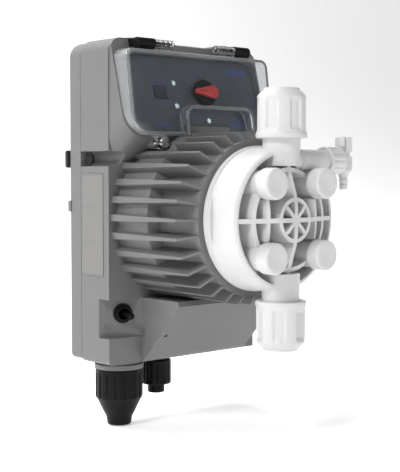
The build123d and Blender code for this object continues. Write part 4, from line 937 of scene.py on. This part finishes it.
# %% Signal port
PORT = (-8.9, -23.7)
port_outline = [
    (0.03, -101.5),
    (5.9, -101.5),
    (5.9, -109.52),
    (7.4, -109.52),
    (7.4, -112.1),
    (8.4, -112.1),
    (8.4, -125.7),
    (3.0, -125.7),
    (3.0, -119.5),
    (0.03, -119.5),
]
port_grip = grip(14, 0.5, 0.2, (-124.0, 0.8), (-113.2, 0.8), (7.4, 0.5))
port_loop = refine(rounded(port_outline, 0.7), 0.6)
port_shell = turn(port_loop, (*PORT, 0), (0, 0, 1), (1, 0, 0), port_grip, 168)
build("signal_entry", [port_shell], "black_plastic", "signal_port")
plug_outline = [
    (0.03, -120.5),
    (2.9, -120.5),
    (2.9, -125.8),
    (4.7, -125.8),
    (4.7, -130.7),
    (2.6, -130.7),
    (2.4, -130.1),
    (0.03, -130.1),
]
plug_loop = refine(rounded(plug_outline, 0.6), 0.6)
plug_shell = turn(plug_loop, (*PORT, 0), (0, 0, 1), (1, 0, 0), None, 96)
build("signal_blank", [plug_shell], "black_plastic", "signal_plug")

# %% [markdown]
# ## Bleed collar and switch nut
#
# Both are small rings with a knurl: the collar holds the bleed valve on the
# head, and the nut holds the toggle switch in its slanted pocket.
# The same grip serves both, with more and shallower grooves on the switch nut.

# %% Knurled rings
BLEED_Z = AXIS_Z + 29.8
collar_outline = [(4.45, 31.25), (7.35, 31.25), (7.35, 42.85), (4.45, 42.85)]
collar_loop = refine(rounded(collar_outline, 0.9), 0.5)
collar_grip = grip(12, 0.6, 0.1, (32.6, 0.5), (41.8, 0.5), (6.6, 0.4))
collar_at = (AXIS_X, -NECK_DEPTH, BLEED_Z)
collar = turn(collar_loop, collar_at, (1, 0, 0), (0, 0, 1), collar_grip, 168)
build("bleed_grip_collar", [collar], "white_plastic", "bleed_collar")

SWITCH = np.array((-41.3, -34.3, -82.6))
SWITCH_OUT = np.array((-0.367, -0.930, 0.0))
bush_outline = [(2.95, 0.0), (5.2, 0.0), (5.2, 1.6), (4.0, 1.6), (4.0, 3.0), (2.95, 3.0)]
bush_loop = refine(rounded(bush_outline, 0.35), 0.3)
bush_grip = grip(28, 0.22, 0.1, (0.2, 0.5), (1.5, 0.5), (4.6, 0.4))
bush = turn(bush_loop, SWITCH, SWITCH_OUT, (0, 0, 1), bush_grip, 224)
build("switch_dress_nut", [bush], "black_plastic", "switch_bush")

# %% [markdown]
# ## Toggle lever
#
# The lever is a small bat on a ball, with a cross pin through the ball.
# It is tipped 13 degrees from the nut's axis, towards "off".
# It could be joined from a ball, a cone and a dome, but one outline turned
# about the lever's own axis has no seams.

# %% Toggle lever
BALL, BALL_DEEP = 2.28, 2.2
TIP, TIP_RISE, TIP_AT = 1.68, 1.6, 10.9
NECK_POINT = (1.2, 2.6)
PIN_HALF, PIN_RADIUS = 2.6, 0.8
out_dir = SWITCH_OUT / np.linalg.norm(SWITCH_OUT)
seat_x = np.cross(UP, out_dir)
aim, tip = math.radians(18.0), math.radians(13.0)
sideways = seat_x * math.cos(aim) - UP * math.sin(aim)
lever_dir = out_dir * math.cos(tip) + sideways * math.sin(tip)
pin_dir = np.cross(out_dir, sideways)
pivot = SWITCH - out_dir * BALL_DEEP
t = np.linspace(0.02, 2.55, 16)
ball_arc = np.stack([BALL * np.sin(t), -BALL * np.cos(t)], -1)
t = np.linspace(0.0, 1.55, 10)
tip_arc = np.stack([TIP * np.cos(t), TIP_AT + TIP_RISE * np.sin(t)], -1)
bat_loop = refine(np.concatenate([ball_arc, [NECK_POINT], tip_arc]), 0.5)
bat_loop[:, 0] = np.maximum(bat_loop[:, 0], 0.02)
bat = turn(bat_loop, pivot, lever_dir, (0, 0, 1), None, 48)
pin_outline = [(0.02, -PIN_HALF), (PIN_RADIUS, -PIN_HALF), (PIN_RADIUS, PIN_HALF), (0.02, PIN_HALF)]
pin = turn(refine(rounded(pin_outline, 0.2), 0.4), pivot, pin_dir, out_dir, None, 32)
build("switch_bat_lever", [bat, pin], "black_plastic", "switch_lever")

# %% [markdown]
# ## Pointer of the adjuster
#
# Seen from the front the pointer is the outline round two circles: a wide
# one to the right of the shaft and a small one at the tip.
# An extruded curve with a bevel could give it, but its tip would pinch.
# Here each higher level is drawn further in, along a quarter circle, and the
# small circle shrinks less than the wide one.

# %% Outline of the pointer
POINTER_WIDE, POINTER_TIP, POINTER_LEAST = 3.7, 1.3, 0.15
WIDE_AT, TIP_END_AT = 3.9, -7.7


def two_circles(inset, count=96):
    """Boundary of the hull of two circles: centre(a) + r(a) (cos a, sin a), a = normal angle."""
    big, small = POINTER_WIDE - inset, np.maximum(POINTER_TIP - 0.6 * inset, POINTER_LEAST)
    turn_at = np.arccos((big - small) / (WIDE_AT - TIP_END_AT))
    angle = np.linspace(0.0, 2 * math.pi, count, endpoint=False)[None, :]
    from_wide = np.abs((angle + math.pi) % (2 * math.pi) - math.pi)
    at_big = from_wide < math.pi - turn_at
    centre = np.where(at_big, WIDE_AT, TIP_END_AT)
    radius = np.where(at_big, big, small)
    return centre + radius * np.cos(angle), radius * np.sin(angle)


print("pointer from", TIP_END_AT - POINTER_TIP, "to", WIDE_AT + POINTER_WIDE, "mm")

# %% [markdown]
# The levels go up the outside, round over the shoulder and down into the face,
# and the loop of levels closes at the bottom.

# %% Adjuster pointer
PANEL_TOP = np.array((0.0, -40.3, 56.8))
FOOT, SHOULDER, SHOULDER_IN = 2.5, 3.6, 1.1


def pointer_shell():
    """Level k lies at height h_k over the panel and is drawn in by inset_k."""
    t = np.linspace(0.15, 1.0, 8) * math.pi / 2
    shoulder = np.stack([SHOULDER + np.sin(t), SHOULDER_IN * (1 - np.cos(t))], -1)
    below = [(FOOT, 3.5), (FOOT, 0.15), (FOOT + 0.15, 0.0), (SHOULDER, 0.0)]
    face = [(4.68, 1.6), (4.82, 2.6), (4.86, 3.5)]
    height, inset = np.concatenate([below, shoulder, face]).T[:, :, None]
    along, aside = two_circles(inset)
    across = np.array((1.0, 0.0, 0.0))
    up = np.array((0.0, PANEL_S, PANEL_C))
    normal = np.array((0.0, -PANEL_C, PANEL_S))
    centre = PANEL_TOP + across * KNOB[0] + up * ((KNOB[1] - PANEL_TOP[2]) / PANEL_C)
    raised = centre + normal * height[..., None]
    grid = raised + along[..., None] * across + aside[..., None] * up
    return grid.reshape(-1, 3), grid_quads(*grid.shape[:2])


build("adjuster_red_pointer", [pointer_shell()], "red_plastic", "adjuster_pointer")

# %% [markdown]
# ## Return spring
#
# The spring lies between the yoke and the armature and gives way at each stroke.
# A Screw modifier could wind it, but all its turns would be alike.
# The wire is a circle carried along a helix whose end turns lie closer, as on a coiled spring.

# %% Wire on a helix
END_EASE = 0.3


def spring_shell(start, rise, radius, wire, turns, steps=280, sides=14):
    """Angle 2 pi turns u and depth start + rise (u - 0.3 sin(2 pi u) / 2 pi), for u from 0 to 1.

    The wire's circle stands in the plane of the helix radius and the tangent's normal.
    Each end is closed by a strip of quads across the last circle.
    """
    u = np.linspace(0.0, 1.0, steps)
    turn_angle = 2 * math.pi * turns * u
    depth = start + rise * (u - END_EASE * np.sin(2 * math.pi * u) / (2 * math.pi))
    outward_way = np.stack([np.cos(turn_angle), 0 * u, np.sin(turn_angle)], -1)
    centre = np.stack([AXIS_X + 0 * u, -depth, AXIS_Z + 0 * u], -1) + radius * outward_way
    tangent = np.gradient(centre, axis=0)
    tangent /= np.linalg.norm(tangent, axis=1)[:, None]
    side = np.cross(tangent, outward_way)
    a = np.linspace(0.0, 2 * math.pi, sides, endpoint=False)[None, :, None]
    grid = centre[:, None] + wire * (np.cos(a) * outward_way[:, None] + np.sin(a) * side[:, None])
    k = np.arange(sides // 2 - 1)
    strip = np.stack([k, k + 1, sides - 2 - k, sides - 1 - k], -1)
    ends = np.concatenate([strip, strip[:, ::-1] + (steps - 1) * sides])
    walls = grid_quads(steps, sides, closed=False)
    return grid.reshape(-1, 3), np.concatenate([walls, ends])


print("the end turns rise", 1 - END_EASE, "times as steeply as the mean")

# %% [markdown]
# The box of the spring in the CAD model says how deep it reaches, so the wire
# fills the same room.

# %% Return spring
WIRE, COIL_RADIUS, COIL_TURNS = 0.7, 6.4, 4.5
spring_box = [tuple(v / MM for v in corner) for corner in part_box("return_spring")]
spring_deep, spring_near = -spring_box[1][1], -spring_box[0][1]
wire_run = spring_near - spring_deep - 2 * WIRE
coils = spring_shell(spring_deep + WIRE, wire_run, COIL_RADIUS, WIRE, COIL_TURNS)
spring = build("armature_return_spring", [coils], "steel", "return_spring")
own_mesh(spring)

# %% [markdown]
# ## Diaphragm
#
# One moulded disc: its bead is clamped by the head, its boss is screwed on the
# armature, and between them a cone of thin sheet bends at each stroke.
# A rigid disc would cut into the armature, so it is three pieces here.
# The cone is a surface that a Solidify modifier thickens, and its depth runs from the boss to the
# fixed bead.

# %% Cone of the diaphragm
BACK_DEPTH, SHEET = 94.75, 1.15
HUB_DEPTH, BEAD_DEPTH = BACK_DEPTH + SHEET / 2, 97.27
CONE_INNER, CONE_OUTER, BEND_AT, BEND_WIDE = 11.6, 22.3, 15.6, 2.0


def diaphragm_sheet():
    """Depth = hub + (bead - hub) ramp((r - 15.6) / 2), for r from 11.6 to the bead.

    The corners are taken the other way round, so that the sheet faces the wall.
    """
    r = np.linspace(CONE_INNER, CONE_OUTER, 44)[:, None]
    a = np.linspace(0.0, 2 * math.pi, 144, endpoint=False)[None, :]
    depth = HUB_DEPTH + (BEAD_DEPTH - HUB_DEPTH) * smooth_step((r - BEND_AT) / BEND_WIDE)
    grid = np.stack([AXIS_X + r * np.cos(a), -depth + 0 * a, AXIS_Z + r * np.sin(a)], -1)
    quads = grid_quads(*grid.shape[:2], closed=False)
    return grid.reshape(-1, 3), quads[:, [0, 3, 2, 1]]


cone = new_piece("diaphragm_cone", *diaphragm_sheet(), "ptfe")
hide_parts("diaphragm")
thicken = cone.modifiers.new("thickness", "SOLIDIFY")
thicken.thickness = SHEET * MM
thicken.offset = 0.0
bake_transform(cone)

# %% [markdown]
# The boss and the bead are thick and do not bend, so they are turned shells
# that keep their shape and ride on one body each.

# %% Boss and bead of the diaphragm
boss_outline = [
    (2.45, BACK_DEPTH),
    (12.0, BACK_DEPTH),
    (12.0, BACK_DEPTH + SHEET),
    (10.0, 98.1),
    (0.02, 98.7),
    (0.02, 97.7),
    (2.45, 97.7),
]
bead_outline = [(20.2, 96.55), (22.6, 96.55), (22.6, 98.0), (20.2, 98.0)]
boss_loop = refine(rounded(boss_outline, 0.4), 0.8)
bead_loop = rounded(bead_outline, 0.35)
for name, loop, body in (
    ("diaphragm_boss", boss_loop, "armature"),
    ("diaphragm_bead", bead_loop, "pump"),
):
    points, quads = turn(loop, (AXIS_X, 0.0, AXIS_Z), (0, -1, 0), (1, 0, 0))
    rigid = new_piece(name, points, outward(points, quads), "ptfe")
    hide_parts("diaphragm")
    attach(rigid, body)

# %% [markdown]
# ## Marks beside the switch
#
# A raised bar and a raised ring are moulded on the pocket floor.
# They are plain marks for the two lever positions, too small for the CAD model.
# A bump could fake them, but they are seen edge on, so they are real solids.

# %% Switch marks
BAR_AT, RING_AT = (-8.8, 3.3), (-8.6, -6.5)
BAR_HALF_WIDE, BAR_HALF_TALL = 0.28, 1.7
RING_INNER, RING_OUTER = 1.15, 1.65
MARK_SUNK, MARK_HIGH = -0.2, 0.3


def bar_shell():
    """A box whose corners are seat + (x +- w, z +- t), sunk into and standing on the floor."""
    a = np.array([-1, 1, 1, -1] * 2)[:, None]
    b = np.array([-1, -1, 1, 1] * 2)[:, None]
    k = np.repeat([MARK_SUNK, MARK_HIGH], 4)[:, None]
    flat = seat_x * (BAR_AT[0] + a * BAR_HALF_WIDE) + UP * (BAR_AT[1] + b * BAR_HALF_TALL)
    floor_face, top = [(3, 2, 1, 0)], [(4, 5, 6, 7)]
    walls = [(0, 1, 5, 4), (1, 2, 6, 5), (2, 3, 7, 6), (3, 0, 4, 7)]
    return SWITCH + flat + out_dir * k, np.array(floor_face + top + walls)


ring_outline = [
    (RING_INNER, MARK_SUNK),
    (RING_OUTER, MARK_SUNK),
    (RING_OUTER, MARK_HIGH),
    (RING_INNER, MARK_HIGH),
]
ring_at = SWITCH + seat_x * RING_AT[0] + UP * RING_AT[1]
ring_shell = turn(rounded(ring_outline, 0.12, 3), ring_at, out_dir, (0, 0, 1), None, 48)
for name, shell in (("switch_mark_bar", bar_shell()), ("switch_mark_ring", ring_shell)):
    points, quads = shell
    mark = new_piece(name, points, outward(points, quads), "casing", smooth=False)
    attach(mark, "pump")

# %% [markdown]
# ## Floor
#
# The pump hangs just clear of a pale floor, as it would on a wall.
# A plane would end in a horizon, so the floor sweeps up far behind the pump
# in a quarter circle.

# %% Floor
FLOOR_GAP, FLOOR_HALF, FLOOR_NEAR = 0.0005, 20.0, -40.0
SWEEP_DEPTH, SWEEP_RADIUS, SWEEP_TOP = 1.2, 1.5, 7.0


def sweep_profile(steps=24):
    """Flat, then (d + r sin t, r - r cos t) for t up to a quarter turn, then straight up."""
    t = np.linspace(0.0, math.pi / 2, steps)[1:]
    bend_y = SWEEP_DEPTH + SWEEP_RADIUS * np.sin(t)
    bend_z = SWEEP_RADIUS - SWEEP_RADIUS * np.cos(t)
    flat = [(FLOOR_NEAR, 0.0), (SWEEP_DEPTH, 0.0)]
    top = [(SWEEP_DEPTH + SWEEP_RADIUS, SWEEP_TOP)]
    return np.concatenate([flat, np.stack([bend_y, bend_z], -1), top])


profile = sweep_profile()
sides_x, back_y = np.meshgrid([-FLOOR_HALF, FLOOR_HALF], profile[:, 0])
rise_z = box_before[0][2] - FLOOR_GAP + profile[:, 1][:, None] + 0 * sides_x
floor_points = np.stack([sides_x, back_y, rise_z], -1).reshape(-1, 3)
strip = 2 * np.arange(len(profile) - 1)
floor_faces = np.stack([strip, strip + 1, strip + 3, strip + 2], -1)
floor_mesh = bpy.data.meshes.new("floor")
floor_mesh.from_pydata(floor_points.tolist(), [], floor_faces.tolist())
floor_mesh.polygons.foreach_set("use_smooth", [True] * len(floor_faces))
floor = bpy.data.objects.new("floor", floor_mesh)
bpy.context.scene.collection.objects.link(floor)
floor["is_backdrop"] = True
print("floor of", len(floor_faces), "strips")

# %% [markdown]
# The floor glows a little, which keeps it pale without lights so strong that
# they would flatten the pump.

# %% Floor paint
FLOOR_GLOW = 0.37
paint = Paint("floor")
shade = paint.blend(paint.noise(400.0, 2.0), (0.93, 0.93, 0.93), (0.95, 0.95, 0.95))
gloss = paint.noise(300.0) * 0.1 + 0.7
glow = {"Emission_Color": shade, "Emission_Strength": FLOOR_GLOW}
floor_mesh.materials.append(paint.finish(shade, gloss, **glow))
print("floor glow", FLOOR_GLOW)

# %% [markdown]
# ## Sky
#
# From behind, the camera sees past the end of the floor, where a weak sky
# would show as a dark band.
# A wall in front would hide it, but would also throw its light on the panel.
# So the sky is bright near the horizon and fades above it, by the height of
# each direction.

# %% Sky
HAZE = {"From Min": 0.06, "From Max": 0.11, "To Min": 0.8, "To Max": 0.16}
world = bpy.data.worlds.new("studio")
bpy.context.scene.world = world
world.use_nodes = True
sky = Wiring(world.node_tree)
background = sky.tree.nodes["Background"]
height = sky.split(sky.node("ShaderNodeTexCoord").outputs["Generated"])[2]
haze = sky.node("ShaderNodeMapRange", {"Value": height, **HAZE})
sky.feed(background.inputs["Color"], (1.0, 1.0, 1.0, 1.0))
sky.feed(background.inputs["Strength"], haze.outputs["Result"])
print("sky strength", HAZE["To Min"], "at the horizon and", HAZE["To Max"], "above")

# %% [markdown]
# ## Lights
#
# A soft light stands high on the left and shapes the pump, a weak one fills
# from the right, and a third lights only the sweep behind it.
# Sun lamps could do the same with hard shadows; square area lights keep the
# shadows of the fins soft.

# %% Soft lights
PUMP_MIDDLE, SWEEP_FOOT = (0, -0.05, -0.02), (0, 2.2, 0.0)
# Each light: name, place, what it faces, side of the square in metres, watts.
LIGHTS = (
    ("key_light", (-1.28, -0.42, 1.05), PUMP_MIDDLE, 0.4, 16.0),
    ("fill_light", (0.55, -1.5, 0.55), PUMP_MIDDLE, 0.6, 3.4),
    ("back_light", (-0.3, 1.0, 1.6), SWEEP_FOOT, 1.5, 56.0),
)
for name, place, aim_at, size, power in LIGHTS:
    data = bpy.data.lights.new(name, "AREA")
    data.size = size
    data.energy = power
    light = bpy.data.objects.new(name, data)
    bpy.context.scene.collection.objects.link(light)
    light.location = place
    facing = Vector(aim_at) - Vector(place)
    light.rotation_euler = facing.to_track_quat("-Z", "Y").to_euler()
    print(name, "of", power, "watts")

# %% [markdown]
# ## Camera
#
# The camera looks from the left front, a little above the middle.
# It could be aimed by a constraint, but then its roll would be left to chance.
# Its three axes come from an azimuth and an elevation instead.

# %% Camera
CAMERA_AT = (-0.41466, -0.5039, -0.0065)
CAMERA_AZIMUTH, CAMERA_RISE = math.radians(-42.46), math.radians(3.31)
LENS, SENSOR = 85.64, 36.0
turn_c, turn_s = math.cos(CAMERA_AZIMUTH), math.sin(CAMERA_AZIMUTH)
rise_c, rise_s = math.cos(CAMERA_RISE), math.sin(CAMERA_RISE)
forward = Vector((-turn_s * rise_c, turn_c * rise_c, -rise_s))
right = Vector((turn_c, turn_s, 0.0))
upward = right.cross(forward)
camera_data = bpy.data.cameras.new("camera")
camera_data.sensor_fit = "VERTICAL"
camera_data.sensor_height = SENSOR
camera_data.lens = LENS
camera = bpy.data.objects.new("camera", camera_data)
bpy.context.scene.collection.objects.link(camera)
turned_axes = Matrix((right, upward, -forward)).transposed().to_4x4()
camera.matrix_world = Matrix.Translation(CAMERA_AT) @ turned_axes
bpy.context.scene.camera = camera
bpy.context.scene.view_settings.view_transform = "Standard"
print("camera", round(Vector(CAMERA_AT).length, 3), "metres from the origin")

# %% [markdown]
# ## Sizes
#
# The box of the whole object is measured again and kept beside the first one.
# A dressed piece that stuck out past the CAD model would make them differ.

# %% Measure the sizes again
box_after = [list(corner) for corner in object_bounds()]
moved = np.abs(np.array(box_after) - np.array(box_before)).max()
print("dressing changed the box by", round(float(moved) / MM, 3), "mm")
